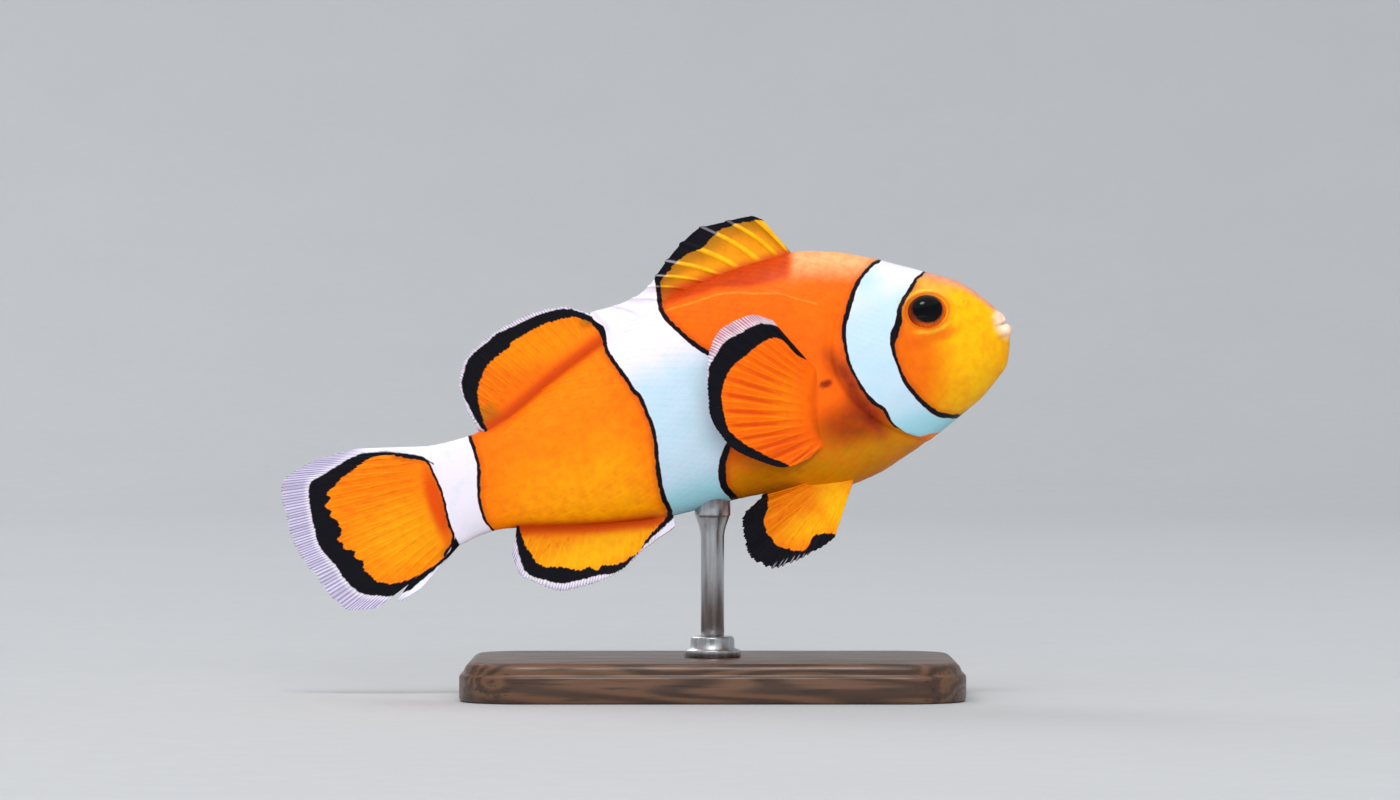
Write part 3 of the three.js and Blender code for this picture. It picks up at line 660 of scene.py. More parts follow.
def sheath_field(back, up):
    """The darker band under the spiny dorsal fin, from the lateral line up to the fin's root: the
    sheath's own red with painted shade.
    """
    over = ease(up - sheath_floor(back), 0, 1.2) * ease(up, 18.2, 16.6)
    return over * ease(back - sheath_front(up), -0.6, 0.5) * ease(back, 43, 40)


def fold_shade_field(back, up):
    """Painted shade in the folds where the soft dorsal fin and the anal fin leave the body."""
    inner = np.minimum(back, BODY_LENGTH)
    over = ease(back, 49, 51) * ease(back, 70, 67)
    on_back = bell(up - body_top(inner), -0.1, 0.8)
    on_belly = bell(up - body_bottom(inner), 0.1, 0.75)
    return over * np.maximum(on_back, on_belly)


def gill_dusk_shade_field(back, up):
    """Painted shade between the gill cover and the pectoral fin's base."""
    return 0.85 * area(back, up, (22.6, -6.2), (4.6, 2.5), 0.65)


print("a soft area from its middle out:",
      area(np.linspace(0, 2, 5), 0, (0, 0), (1, 1)).round(2).tolist())


# %% All the fields of the skin
def skin_fields(spots):
    """All that a material has to know about points of the skin."""
    back, side, up = spots.T
    back = back + 0.3 * np.sin(up * 0.5 + 1) * ease(side, 1, 4)
    bands = band_tones(back, up)
    lateral, _ = beside(LATERAL_LINE, back, up)
    from_shade, shade_strength = beside(GILL_SHADE, back, up)
    under_back = body_top(np.clip(back, 0, BODY_LENGTH)) - up
    ring = eye_ring(spots)
    over_or_under = ease(np.abs(up - EYE["up"]), 1.6, 2.6)
    behind_eye = area(back, up, (13.2, -0.6), (3.9, 5.6), 0.7)
    # painted shade below the eye
    shade_under_eye = area(back, up, (9.9, 1.2), (3, 1.2), 0.6)
    # painted shade just below the eye's socket
    shade_below_socket = area(back, up, (10.4, 1.1), (2.8, 0.9), 0.7)
    return {
        **bands,
        "face": ease(back, 16, 9),
        "brow": area(back, up, (8.5, 8.4), (5, 2.6), 0.6),
        # the cheek's own deeper orange behind the eye, and painted shade below the eye
        "cheek": np.maximum(behind_eye, 0.85 * shade_under_eye),
        "lips": area(back, up, (0.1, 0), (1.35, 1.9), 0.5),
        # painted highlight along the top of the forehead
        "crown_sheen": ease(under_back, 1.6, 0.2) * ease(back, 12, 8),
        # painted highlight on the back in front of the dorsal fin
        "pale": ease(under_back, 4.8, 0.6) * ease(back, 12, 14)
        * ease(back - sheath_front(up), 0.5, -1.1),
        # the sheath's own darker red, with painted shade at the fin's base
        "sheath": sheath_field(back, up),
        "belly": ease(up, -3.5, -10) * ease(back, 44, 38) * ease(back, 13, 17),
        "shade": shade_strength * bell(from_shade, 0, 1.25),
        # painted shade between the gill cover and the pectoral fin
        "gill_dusk_shade": gill_dusk_shade_field(back, up),
        "warm": (0.35 + 0.65 * ease(up, 5, -6)) * ease(back, 44, 54) * ease(back, 78, 60),
        # painted shade in the folds at the soft fins' roots
        "fold_shade": fold_shade_field(back, up),
        "lateral": np.abs(lateral) + 3 * ease(back, 41, 45),
        # pale yellow skin on the eye's rim above and below, lightened as a painted highlight
        "orbit": bell(ring, 1.23, 0.09) * over_or_under,
        # painted shade in a ring round the eye and below its socket
        "socket": np.maximum(0.7 * bell(ring, 1.05, 0.09), 0.3 * shade_below_socket),
        "speck": area(back, up, (24.6, -0.6), (0.85, 0.5), 0.35),
    }


print("fields on the skin:", ", ".join(skin_fields(np.zeros((1, 3)))))

# %% [markdown]
# ## A short way to write materials
#
# A node material is a small recipe: read a distance, soften it, mix two colours. Written out
# with every node and link it hides that recipe, so this helper gives each step one short call.


# %% The helper for node materials
class Finish:
    """A node material with its shader, and calls that add a node and return what it gives."""

    def __init__(self, name):
        self.material = bpy.data.materials.new(name)
        self.material.use_nodes = True
        self.tree = self.material.node_tree
        self.shader = self.tree.nodes["Principled BSDF"]
        self.places = self.node("ShaderNodeTexCoord").outputs["Object"]

    def node(self, kind, **settings):
        made = self.tree.nodes.new(kind)
        for key, value in settings.items():
            setattr(made, key, value)
        return made

    def plug(self, socket, value):
        if isinstance(value, bpy.types.NodeSocket):
            self.tree.links.new(value, socket)
        elif isinstance(value, tuple) and socket.type == "RGBA":
            socket.default_value = (*value, 1)
        else:
            socket.default_value = value

    def field(self, name):
        return self.node("ShaderNodeAttribute", attribute_name=name).outputs["Fac"]

    def calc(self, operation, a, b=0.0):
        made = self.node("ShaderNodeMath", operation=operation)
        self.plug(made.inputs[0], a)
        self.plug(made.inputs[1], b)
        return made.outputs[0]

    def plus(self, a, b):
        return self.calc("ADD", a, b)

    def minus(self, a, b):
        return self.calc("SUBTRACT", a, b)

    def times(self, a, b):
        return self.calc("MULTIPLY", a, b)

    def soft(self, value, low, high, at_low=0.0, at_high=1.0):
        """A soft step from at_low to at_high while the value goes from low to high."""
        made = self.node("ShaderNodeMapRange", interpolation_type="SMOOTHSTEP")
        for socket, given in zip(made.inputs, (value, low, high, at_low, at_high)):
            self.plug(socket, given)
        return made.outputs[0]

    def mix(self, share, a, b, blend="MIX"):
        made = self.node("ShaderNodeMix", data_type="RGBA", blend_type=blend)
        for socket, given in zip((made.inputs[0], made.inputs[6], made.inputs[7]), (share, a, b)):
            self.plug(socket, given)
        return made.outputs[2]

    def brightened(self, colour, tone, amount):
        """A colour made lighter or darker by a small number."""
        grey = self.node("ShaderNodeCombineColor")
        for socket in grey.inputs:
            self.plug(socket, self.plus(1.0, self.times(tone, amount)))
        return self.mix(1.0, colour, grey.outputs[0], blend="MULTIPLY")

    def noise(self, size, detail=3, stretch=None, places=None):
        """Cloudy noise whose clouds are about `size` millimetres across."""
        made = self.node("ShaderNodeTexNoise")
        at = places or self.places
        if stretch:
            mapping = self.node("ShaderNodeMapping")
            self.plug(mapping.inputs["Vector"], at)
            mapping.inputs["Scale"].default_value = stretch
            at = mapping.outputs[0]
        self.plug(made.inputs["Vector"], at)
        made.inputs["Scale"].default_value = 1 / (size * MM)
        made.inputs["Detail"].default_value = detail
        return made.outputs["Fac"]

    def sway(self, size, amount, **more):
        """The same noise as a number that swings either way by up to about `amount`."""
        return self.times(self.minus(self.noise(size, **more), 0.5), 2 * amount)

    def colour(self, value):
        self.plug(self.shader.inputs["Base Color"], value)

    def rough(self, value):
        self.plug(self.shader.inputs["Roughness"], value)

    def bump(self, height, strength, depth):
        """Fine relief in the light alone, with its depth in millimetres."""
        made = self.node("ShaderNodeBump")
        made.inputs["Strength"].default_value = strength
        made.inputs["Distance"].default_value = depth * MM
        self.plug(made.inputs["Height"], height)
        self.plug(self.shader.inputs["Normal"], made.outputs[0])

    def set(self, **values):
        for name, value in values.items():
            self.shader.inputs[name.replace("_", " ")].default_value = value


print("what a finish can do:", ", ".join(name for name in vars(Finish) if name[0] != "_"))

# %% Colours of a live fish, and of painted shade and highlights
ORANGE = (0.92, 0.134, 0.0005)
DEEP_ORANGE = (0.7, 0.062, 0.001)
RED_BROWN = (0.2, 0.016, 0.003)
# painted shade by the gill cover
GILL_SHADE_RED = (0.22, 0.02, 0.001)
# painted shade in the folds at the fins' roots
FOLD_SHADE_BROWN = (0.5, 0.048, 0.001)
# the sheath's own red, also standing for painted shade at the fin's base
SHEATH_RED = (0.5, 0.042, 0.002)
# painted shade round the eye
SOCKET_SHADE_RED = (0.5, 0.055, 0.003)
CHEEK_ORANGE = (0.78, 0.14, 0.001)
BROW_ORANGE = (0.86, 0.38, 0.05)
SMOKE = (0.3, 0.035, 0.004)
LINE_ORANGE = (0.95, 0.34, 0.03)
AMBER = (0.98, 0.375, 0.001)
FACE_YELLOW = (0.88, 0.46, 0.002)
FIN_AMBER = (0.88, 0.27, 0.001)
FIN_YELLOW = (0.88, 0.42, 0.002)
SPINE_YELLOW = (0.95, 0.48, 0.006)
# pale yellow of the eye's rim, lightened as a painted highlight
BUTTER = (0.98, 0.6, 0.03)
OCHRE = (0.56, 0.215, 0.001)
# painted highlight on the nape
NAPE_SHEEN_PEACH = (0.85, 0.45, 0.19)
LIP_PINK = (0.96, 0.74, 0.56)
# painted highlight along the top of the forehead
CROWN_SHEEN_PINK = (0.72, 0.33, 0.2)
# pink of the bands' tops as a painted highlight, and the tail band's own paler white
BAND_PINK = (0.82, 0.75, 0.85)
BAND_WHITE = (0.51, 0.67, 0.79)
# grey of the bands low down as painted shade, and of their random clouds
BAND_GREY = (0.34, 0.65, 0.75)
INK = (0.004, 0.004, 0.007)
MUCUS_COAT = 0.06
print("ground colour:", ORANGE, "black of the lines:", INK)

# %% The bands' finish
BAND_EDGE = 0.06
LINE_RAGGED = 0.16


def banded(finish, ground):
    """The white bands and their black lines over the ground colour."""
    distance, ink = finish.field("white"), finish.field("ink")
    # Painted shade greys the white low down and a painted highlight pinks its top; the tail band's
    # pink is its own paler white.
    white = finish.mix(finish.field("low"), BAND_WHITE, BAND_GREY)
    white = finish.mix(finish.field("pink"), white, BAND_PINK)
    white = finish.mix(finish.soft(finish.noise(2.2), 0.45, 0.75, 0, 0.25), white, BAND_GREY)
    ragged = finish.plus(distance, finish.sway(0.9, LINE_RAGGED, detail=4))
    beyond_line = finish.minus(finish.times(distance, -1.0), ink)
    smoke = finish.times(finish.soft(beyond_line, 0.9, 0, 0, 0.4), finish.soft(ink, 0.1, 0.5))
    inside = finish.soft(ragged, -BAND_EDGE, BAND_EDGE)
    colour = finish.mix(inside, finish.mix(smoke, ground, SMOKE), white)
    outside = finish.times(ragged, -1.0)
    into_line = finish.minus(finish.plus(ink, finish.sway(0.7, LINE_RAGGED, detail=4)), outside)
    line = finish.times(finish.soft(into_line, -0.08, 0.06), finish.soft(outside, -0.04, 0.06))
    line = finish.times(line, finish.soft(ink, 0.02, 0.2))
    return finish.mix(line, colour, INK)


print("a band's edge is soft over mm:", 2 * BAND_EDGE)

# %% The skin's finish
# The areas are laid over one another in this order.
# Most are the fish's own colours; the crown, the nape and the eye's rim carry painted highlights, and
# the gill opening, the eye's socket and the folds carry painted shade.
SKIN_TINTS = {
    "warm": AMBER, "belly": OCHRE, "face": FACE_YELLOW, "brow": BROW_ORANGE, "cheek": CHEEK_ORANGE,
    "pale": NAPE_SHEEN_PEACH, "sheath": SHEATH_RED, "gill_dusk_shade": GILL_SHADE_RED, "shade": RED_BROWN,
    "crown_sheen": CROWN_SHEEN_PINK, "orbit": BUTTER, "socket": SOCKET_SHADE_RED, "lips": LIP_PINK,
    "speck": RED_BROWN, "fold_shade": FOLD_SHADE_BROWN,
}


def skin_finish():
    finish = Finish("clownfish_skin")
    ground = ORANGE
    clouds = finish.noise(6)
    for field, tint in SKIN_TINTS.items():
        share = finish.times(finish.field(field), finish.soft(clouds, 0.2, 0.6, 0.82, 1.0))
        ground = finish.mix(share, ground, tint)
    ground = finish.mix(finish.soft(finish.field("lateral"), 0.04, 0.2, 0.5, 0), ground, LINE_ORANGE)
    mottle = finish.soft(finish.noise(1.1, detail=5), 0.35, 0.7, 0, 0.24)
    ground = finish.mix(mottle, ground, DEEP_ORANGE)
    # Painted shading along each scale, with a random tone for each, here and on the bands' white
    # below.
    ground = finish.brightened(ground, finish.field("tone"), 0.06)
    finish.colour(finish.brightened(banded(finish, ground), finish.field("tone"), 0.006))
    finish.rough(finish.soft(finish.noise(1.6), 0.3, 0.7, 0.36, 0.5))
    finish.bump(finish.noise(0.22, detail=2), 0.25, 0.03)
    finish.set(Coat_Weight=MUCUS_COAT, Coat_Roughness=0.2, IOR=1.4, Specular_IOR_Level=0.14)
    return finish.material


skin_material = skin_finish()
print("nodes in the skin's finish:", len(skin_material.node_tree.nodes))

# %% The skin
skin_spots = skin_rings.reshape(-1, 3)
nose_tip = pole - np.array([NOSE_DEEP, 0, 0])
nose_tip[0] -= press_skin(nose_tip[None, :], np.array([[-1.0, 0, 0]]))[0] - SKIN_INSET
tail_tip = skin_spots[-COLUMNS:].mean(0)
skin_spots = np.vstack([skin_spots, nose_tip, tail_tip])
skin_faces = fanned_faces(len(skin_rings), COLUMNS)
make_piece(
    "skin", to_metres(skin_spots), skin_faces, skin_material, "body_skin", skin_fields(skin_spots),
    ["head", "lower_jaw", "gill_cover_right", "gill_cover_left", "trunk", "tail_stalk"])

# %% [markdown]
# ## Scales
#
# A clownfish has about fifty rows of small scales from the gill cover to the tail. A bump in the
# material would look flat at the edge of the fish and would be lost in a copy of the mesh, so
# each scale is a thin plate of its own: its front is sunk into the skin and its round hind edge
# lies over the next ones. They are set row by row on the skin itself, which they follow in every
# curve. They start behind the face, leave out the gill slit and the place under the pectoral
# fin, and are smaller at the nape and the tail, as real ones are.

# %% Even steps round the flank
MEASURED_TURNS = 181
flank_turns = np.linspace(math.pi / 2, -math.pi / 2, MEASURED_TURNS)
girth_backs = np.linspace(2, BODY_LENGTH, 150)
girth_spots = body_point(girth_backs[:, None], flank_turns[None, :])
girth_steps = np.linalg.norm(np.diff(girth_spots, axis=1), axis=-1)
girth = np.concatenate([np.zeros((len(girth_backs), 1)), np.cumsum(girth_steps, axis=1)], axis=1)
girth_share = np.array([
    np.interp(np.linspace(0, 1, MEASURED_TURNS), row / row[-1], flank_turns) for row in girth])


def turn_of(back, share):
    """The turn at a share of the way down the left flank."""
    at = np.clip((back - girth_backs[0]) / (girth_backs[-1] - girth_backs[0]), 0, 1)
    row = at * (len(girth_backs) - 1)
    column = np.clip(share, 0, 1) * (MEASURED_TURNS - 1)
    i = np.minimum(row.astype(int), len(girth_backs) - 2)
    k = np.minimum(column.astype(int), MEASURED_TURNS - 2)
    u, v = row - i, column - k
    near = lerp(girth_share[i, k], girth_share[i, k + 1], v)
    far = lerp(girth_share[i + 1, k], girth_share[i + 1, k + 1], v)
    return lerp(near, far, u)


print("half girth at the shoulder in mm:", round(float(girth[50, -1]), 1))

# %% Where the scales stand
SCALE_ROWS = 36
FIRST_SCALE = 4.2
SCALES_PARTED = 36
scale_pitch = curve([(3, 0.5), (10, 0.62), (22, 0.78), (45, 0.88), (60, 0.78), (BODY_LENGTH, 0.56)])


def scale_roots():
    """Each scale's place as back and share down the flank; odd columns are half a row off."""
    roots = []
    back = FIRST_SCALE
    while back < BODY_LENGTH - 0.5:
        shares = (np.arange(SCALE_ROWS) + 0.25 + 0.5 * (len(roots) % 2)) / SCALE_ROWS
        roots.append(np.stack([np.full(SCALE_ROWS, back), shares], -1))
        back += float(scale_pitch(back))
    return np.concatenate(roots)


def scale_room(spots):
    """1 where scales grow, falling to 0 on the face, the gill slit and the pectoral fins' base."""
    back, _, up = spots.T
    behind_gill, _ = beside(GILL_EDGE, back, up)
    past_slit = np.maximum(ease(up, 8, 9.5), ease(up, -11, -12.5))
    off_slit = np.maximum(ease(np.abs(behind_gill - 0.4), 0.5, 1.5), past_slit)
    off_fin_base = 1 - area(back, up, (26.2, -3.7), (2, 4.9), 0.3)
    return off_slit * off_fin_base * ease(back - 0.12 * up, 13.4, 15)


print("places for scales on a flank:", len(scale_roots()))

# %% The points of the plates
SCALE_LONG = 4
SCALE_WIDE = 5
SCALE_FRONT = -0.9
SCALE_TIP = 1.25
SCALE_ROUND = 0.8
SCALE_HALF = 0.54
SCALE_TAPER = 0.12
SCALE_RISE = 0.042
SCALE_SUNK = -0.022
SCALE_EDGE = 0.03
SCALE_CROWN = 0.03
plate_out = np.linspace(0, 1, SCALE_LONG)[:, None]
plate_across = np.linspace(-1, 1, SCALE_WIDE)[None, :]


def plate_spots(roots, flank, chance):
    """The points over and under every plate; chance moves its tip and its height a little."""
    root_back, root_share = roots[:, 0][:, None, None], roots[:, 1][:, None, None]
    pitch = scale_pitch(root_back)
    tip = SCALE_TIP - SCALE_ROUND * plate_across**2 + 0.04 * chance[:, 0]
    back = root_back + pitch * lerp(SCALE_FRONT, tip, plate_out)
    back = np.minimum(back, BODY_LENGTH + 0.2)
    share = root_share + (SCALE_HALF / SCALE_ROWS) * plate_across * (1 - SCALE_TAPER * plate_out)
    share = np.clip(np.broadcast_to(share, back.shape), 0.001, 0.999)
    turn = turn_of(back, share)
    if flank == RIGHT:
        turn = math.pi - turn
    spots = body_point(back, turn).reshape(-1, 3)
    outward = body_outward(back, turn).reshape(-1, 3)
    lift = lerp(SCALE_SUNK, SCALE_RISE, plate_out**0.8) - SCALE_CROWN * plate_across**2
    lift = lift * (pitch / scale_pitch(45)) * (1 + 0.12 * chance[:, 1])
    lift = np.broadcast_to(lift, back.shape).reshape(-1)
    height = press_skin(spots, outward) - SKIN_INSET + lift
    over = spots + outward * height[:, None]
    under = spots + outward * (height - SCALE_EDGE)[:, None]
    plates = (len(roots), SCALE_LONG * SCALE_WIDE, 3)
    return np.concatenate([over.reshape(plates), under.reshape(plates)], 1)


print("points of one plate:", 2 * SCALE_LONG * SCALE_WIDE)

# %% The plates' own map
BAKE_PATCH = 0.003


def map_plates(mesh, roots):
    """A map that gives each plate a small patch at its root's place on the unrolled flank."""
    local = np.stack(np.broadcast_arrays(plate_out, (plate_across + 1) / 2), -1)
    local = local.reshape(-1, 2) * BAKE_PATCH
    unrolled = np.stack([roots[:, 0] / BODY_LENGTH, roots[:, 1]], -1)[:, None] * (1 - BAKE_PATCH)
    corners = (unrolled + np.tile(local, (2, 1))[None]).reshape(-1, 2)
    loops = np.empty(len(mesh.loops), int)
    mesh.loops.foreach_get("vertex_index", loops)
    mesh.uv_layers.new(name="OFBake").data.foreach_set("uv", corners[loops].ravel())


print("a plate's patch of the map:", BAKE_PATCH)

# %% Plates on the skin
luck = np.random.default_rng(11)


def make_scales(name, flank, first_back, last_back):
    """One joined piece of plates on a flank, between two places along the fish."""
    roots = scale_roots()
    roots = roots[(roots[:, 0] >= first_back) & (roots[:, 0] < last_back)]
    turn = turn_of(roots[:, 0], roots[:, 1])
    roots = roots[scale_room(body_point(roots[:, 0], turn) * [1, flank, 1]) > 0.5]
    chance = luck.normal(0, 1, (len(roots), 3, 1, 1))
    spots = plate_spots(roots, flank, chance)
    count, points, _ = spots.shape
    pattern = np.array(sheet_faces(SCALE_LONG, SCALE_WIDE))[:, ::-1]
    faces = (pattern[None] + np.arange(count)[:, None, None] * points).reshape(-1, 4)
    fields = skin_fields(spots.reshape(-1, 3))
    # Painted shading: each plate darker at its front and lighter at its hind end; chance adds a
    # random tone to each.
    plate_shading = np.repeat(lerp(-0.5, 0.9, plate_out.ravel()), SCALE_WIDE)
    tone = 0.45 * chance[:, 2, 0] + np.tile(plate_shading, 2)
    fields["tone"] = np.clip(tone, -1.2, 1.2)
    piece = make_piece(name, to_metres(spots.reshape(-1, 3)), faces.tolist(), skin_material,
                       "body_skin", fields, crisp=True)
    map_plates(piece.data, roots)
    print(name, "scales:", count)


for side_name, flank in (("left", LEFT), ("right", RIGHT)):
    make_scales(f"scales_{side_name}_front", flank, 0, SCALES_PARTED)
    make_scales(f"scales_{side_name}_rear", flank, SCALES_PARTED, BODY_LENGTH)

# %% [markdown]
# ## Eyes
#
# The eye is a flattened ball set into the head. A dark pupil fills most of it, set a little back
# and up, inside an iris that shows brick orange below and in front. The ball is one mesh whose
# rings follow the eye's own rim, with a fine step where the pupil meets the iris, and a clear
# coat in the material stands for the cornea and its sharp highlight.

# %% The eye's mesh
EYE_RINGS = 44
EYE_POINTS = 96
FIRST_ANGLE = 0.02
LAST_ANGLE = math.pi * 0.8
PUPIL = {"tailward": 0.02, "upward": 0.05, "long": 0.72, "tall": 0.82}
OFF_PUPIL = 3


def make_eye(name, flank, finish):
    """An eye ball of rings about its way out, whose back is cut flat, deep in the head."""
    middle, tailward, outward, upward = eye_frame(flank)
    polar = np.linspace(FIRST_ANGLE, LAST_ANGLE, EYE_RINGS)[:, None]
    around = (np.arange(EYE_POINTS) * 2 * math.pi / EYE_POINTS)[None, :]
    x, z = np.sin(polar) * np.cos(around), np.sin(polar) * np.sin(around)
    pupil = np.hypot((x - PUPIL["tailward"]) / PUPIL["long"], (z - PUPIL["upward"]) / PUPIL["tall"])
    pupil = np.where(np.cos(polar) > 0, pupil, OFF_PUPIL)
    step = 0.05 * bell(pupil, 1.06, 0.05) - 0.03 * ease(pupil, 1.5, 1.1) * ease(pupil, 0.95, 1.05)
    size = 1 + step / 2.5
    local = np.stack([
        x * EYE["long"] / 2 * size,
        np.cos(polar) * EYE["deep"] / 2 * size + 0 * x,
        z * EYE["tall"] / 2 * size], -1)
    spots = middle + local @ np.stack([tailward, outward, upward])
    tips = [middle + outward * EYE["deep"] / 2, spots[-1].mean(0)]
    spots = np.vstack([spots.reshape(-1, 3), tips])
    fields = {
        "pupil": np.append(pupil.ravel(), [0.2, OFF_PUPIL]),
        "low_front": np.append((-(z * 0.8) - x * 0.6).ravel(), [0, 0]),
        "rim": np.append((np.sin(polar) + 0 * x).ravel(), [0, 0]),
    }
    faces = fanned_faces(EYE_RINGS, EYE_POINTS)
    make_piece(name, to_metres(spots), faces, finish, "eye", fields, [name])


# %% The eye's finish
IRIS_ORANGE = (0.74, 0.12, 0.008)
IRIS_BROWN = (0.15, 0.018, 0.005)
PUPIL_BLACK = (0.002, 0.002, 0.003)


def eye_finish():
    finish = Finish("eye")
    # Painted shade: the iris turns from brick orange in front and below to brown at its back and top.
    front = finish.soft(finish.field("low_front"), -0.45, 0.55)
    iris = finish.mix(front, IRIS_BROWN, IRIS_ORANGE)
    iris = finish.mix(finish.soft(finish.noise(0.35, detail=4), 0.4, 0.75, 0, 0.4), iris, IRIS_BROWN)
    # Painted shade at the ball's rim, where it sinks into the socket.
    iris = finish.mix(finish.soft(finish.field("rim"), 0.93, 1.0, 0, 0.7), iris, RED_BROWN)
    edge = finish.plus(finish.field("pupil"), finish.sway(0.5, 0.05))
    finish.colour(finish.mix(finish.soft(edge, 0.92, 1.12), PUPIL_BLACK, iris))
    finish.rough(finish.soft(finish.field("pupil"), 0.95, 1.1, 0.12, 0.3))
    finish.set(Coat_Weight=0.2, Coat_Roughness=0.02, Coat_IOR=1.45, IOR=1.4, Specular_IOR_Level=0.08)
    return finish.material


eye_material = eye_finish()
make_eye("eye_right", RIGHT, eye_material)
make_eye("eye_left", LEFT, eye_material)

# %% [markdown]
# ## Fins
#
# A fin is a thin web held by rays. The spines of the front dorsal fin are single rods, and the
# soft rays of the others fork twice on their way out, so a fin that starts with fifteen rays
# ends in sixty tips. Cloth would be the wrong idea here: the rays decide every fold. So each fin
# is a fine sheet between its root line and its edge line, thickened on both faces, and one
# function raises the rays, forks them and sags the web between them.


# %% The rays
def ray_pattern(along, out, rays, forks):
    """Which ray a place belongs to, its place across it from -0.5 to 0.5, and the ray's height."""
    at = along * rays
    number = np.minimum(np.floor(at), rays - 1)
    across = at - number - 0.5
    if forks:
        first = 0.23 * ease(out, 0.22, 0.62)
        second = 0.11 * ease(out, 0.58, 0.92)
        across_half = np.abs(np.abs(across) - first)
        nearest = np.abs(across_half - second)
        half = lerp(0.17, 0.075, ease(out, 0.15, 0.8))
    else:
        nearest = np.abs(across)
        half = lerp(0.21, 0.14, out)
    return number, across, np.clip(1 - (nearest / half) ** 2, 0, 1)


across_one_ray = np.array([0.15, 0.25, 0.35])
print("height across a forked ray:", np.round(ray_pattern(across_one_ray, 1, 1, True)[2], 2))

# %% One fin from its sheet
ROW_CROWDING = 1.25
LENGTH_CHANCE = 0.008
LEAN_CHANCE = 0.35
EDGE_WEB = 0.05
RAY_JOINTS = 90
JOINT_DEEP = 0.18


def ragged_out(fin, along, dice):
    """How far out the rows of a fin lie, with notches between the rays and torn places."""
    rays = fin["rays"]
    _, _, tip = ray_pattern(along, np.ones_like(along), rays, fin["forks"])
    length = np.interp(along * rays - 0.5, np.arange(rays), dice.normal(0, LENGTH_CHANCE, rays))
    ragged = fin["notch"] * (1 - tip) + fin["fray"] * dice.random(along.shape) * (1 - 0.6 * tip)
    shortfall = np.clip(ragged - length, 0, 0.4)
    for place, wide, deep in fin.get("tears", ()):
        shortfall = np.maximum(shortfall, deep * np.clip(1 - np.abs(along - place) / wide, 0, 1))
    level = 1 - (1 - np.linspace(0, 1, fin["rows"])[:, None]) ** ROW_CROWDING
    return level * (1 - shortfall * level**2)


def sheet_normal(spot, along, out, step=0.002):
    """The way that a fin's middle sheet faces."""
    a = spot(along + step, out) - spot(along - step, out)
    b = spot(along, out + step) - spot(along, out - step)
    return unit(np.cross(a, b))


def make_fin(name, spot, fin, fields_of, finish):
    """A closed, thin fin. `spot` gives the middle sheet from along and out."""
    rays = fin["rays"]
    dice = np.random.default_rng(fin["seed"])
    along = np.linspace(0, 1, rays * fin["per_ray"] + 1)[None, :]
    out = ragged_out(fin, along, dice)
    along = np.broadcast_to(along, out.shape)
    number, across, ridge = ray_pattern(along, out, rays, fin["forks"])
    middle, normal = spot(along, out), sheet_normal(spot, along, out)
    bare = ease(out, *fin["bare_from"])
    ridge = ridge * bare
    sag = np.cos(across * 2 * math.pi) * bare * fin["pleat"]
    sag = sag * np.sin(out * math.pi * 0.5) * (1 - 0.5 * out)
    lean = dice.normal(0, LEAN_CHANCE, rays)[number.astype(int)] * np.cos(across * math.pi) ** 2
    middle = middle + normal * (sag + fin["pleat"] * lean * out * (1 - 0.6 * out))[..., None]
    web = lerp(fin["web"], EDGE_WEB, ease(out, 0.3, 1)) + fin["fairing"](middle, along, out)
    segments = 1 - JOINT_DEEP * (np.sin(out * RAY_JOINTS + number) > 0.8) * ease(out, 0.35, 0.5)
    half = web + fin["rise"] * ridge * lerp(1, 0.4, out) * segments
    near = (middle + normal * half[..., None]).reshape(-1, 3)
    far = (middle - normal * half[..., None]).reshape(-1, 3)
    spots = np.concatenate([near, far])
    fields = fields_of(spots, np.tile(along.ravel(), 2), np.tile(out.ravel(), 2))
    fields["ray"] = np.tile(ridge.ravel(), 2)
    fields["along"] = np.tile(along.ravel() * rays, 2)
    fields["out"] = np.tile(out.ravel(), 2)
    faces = sheet_faces(*out.shape)
    make_piece(name, to_metres(spots), faces, finish, fin["slot"], fields, [name])


# %% [markdown]
# The fins' finish follows the same rule as the skin's. Every point knows how far it lies outside
# the black margin and how far inside it, and the rays lighten the web they stand on. Towards the
# edge the black stops and the web turns clear and milky, with pale strands that run on outwards.

# %% The fins' web
FRINGE = (0.68, 0.64, 0.85)
FRINGE_DARK = (0.33, 0.28, 0.44)
MARGIN_WHITE = (0.78, 0.76, 0.9)
OLIVE = (0.25, 0.12, 0.004)


def ray_noise(finish, share, stretch):
    """Noise in the fin's own measure: a share of a ray wide, and drawn out along the rays."""
    place = finish.node("ShaderNodeCombineXYZ")
    finish.plug(place.inputs[0], finish.field("along"))
    finish.plug(place.inputs[1], finish.times(finish.field("out"), stretch))
    return finish.noise(share / MM, detail=2, places=place.outputs[0])


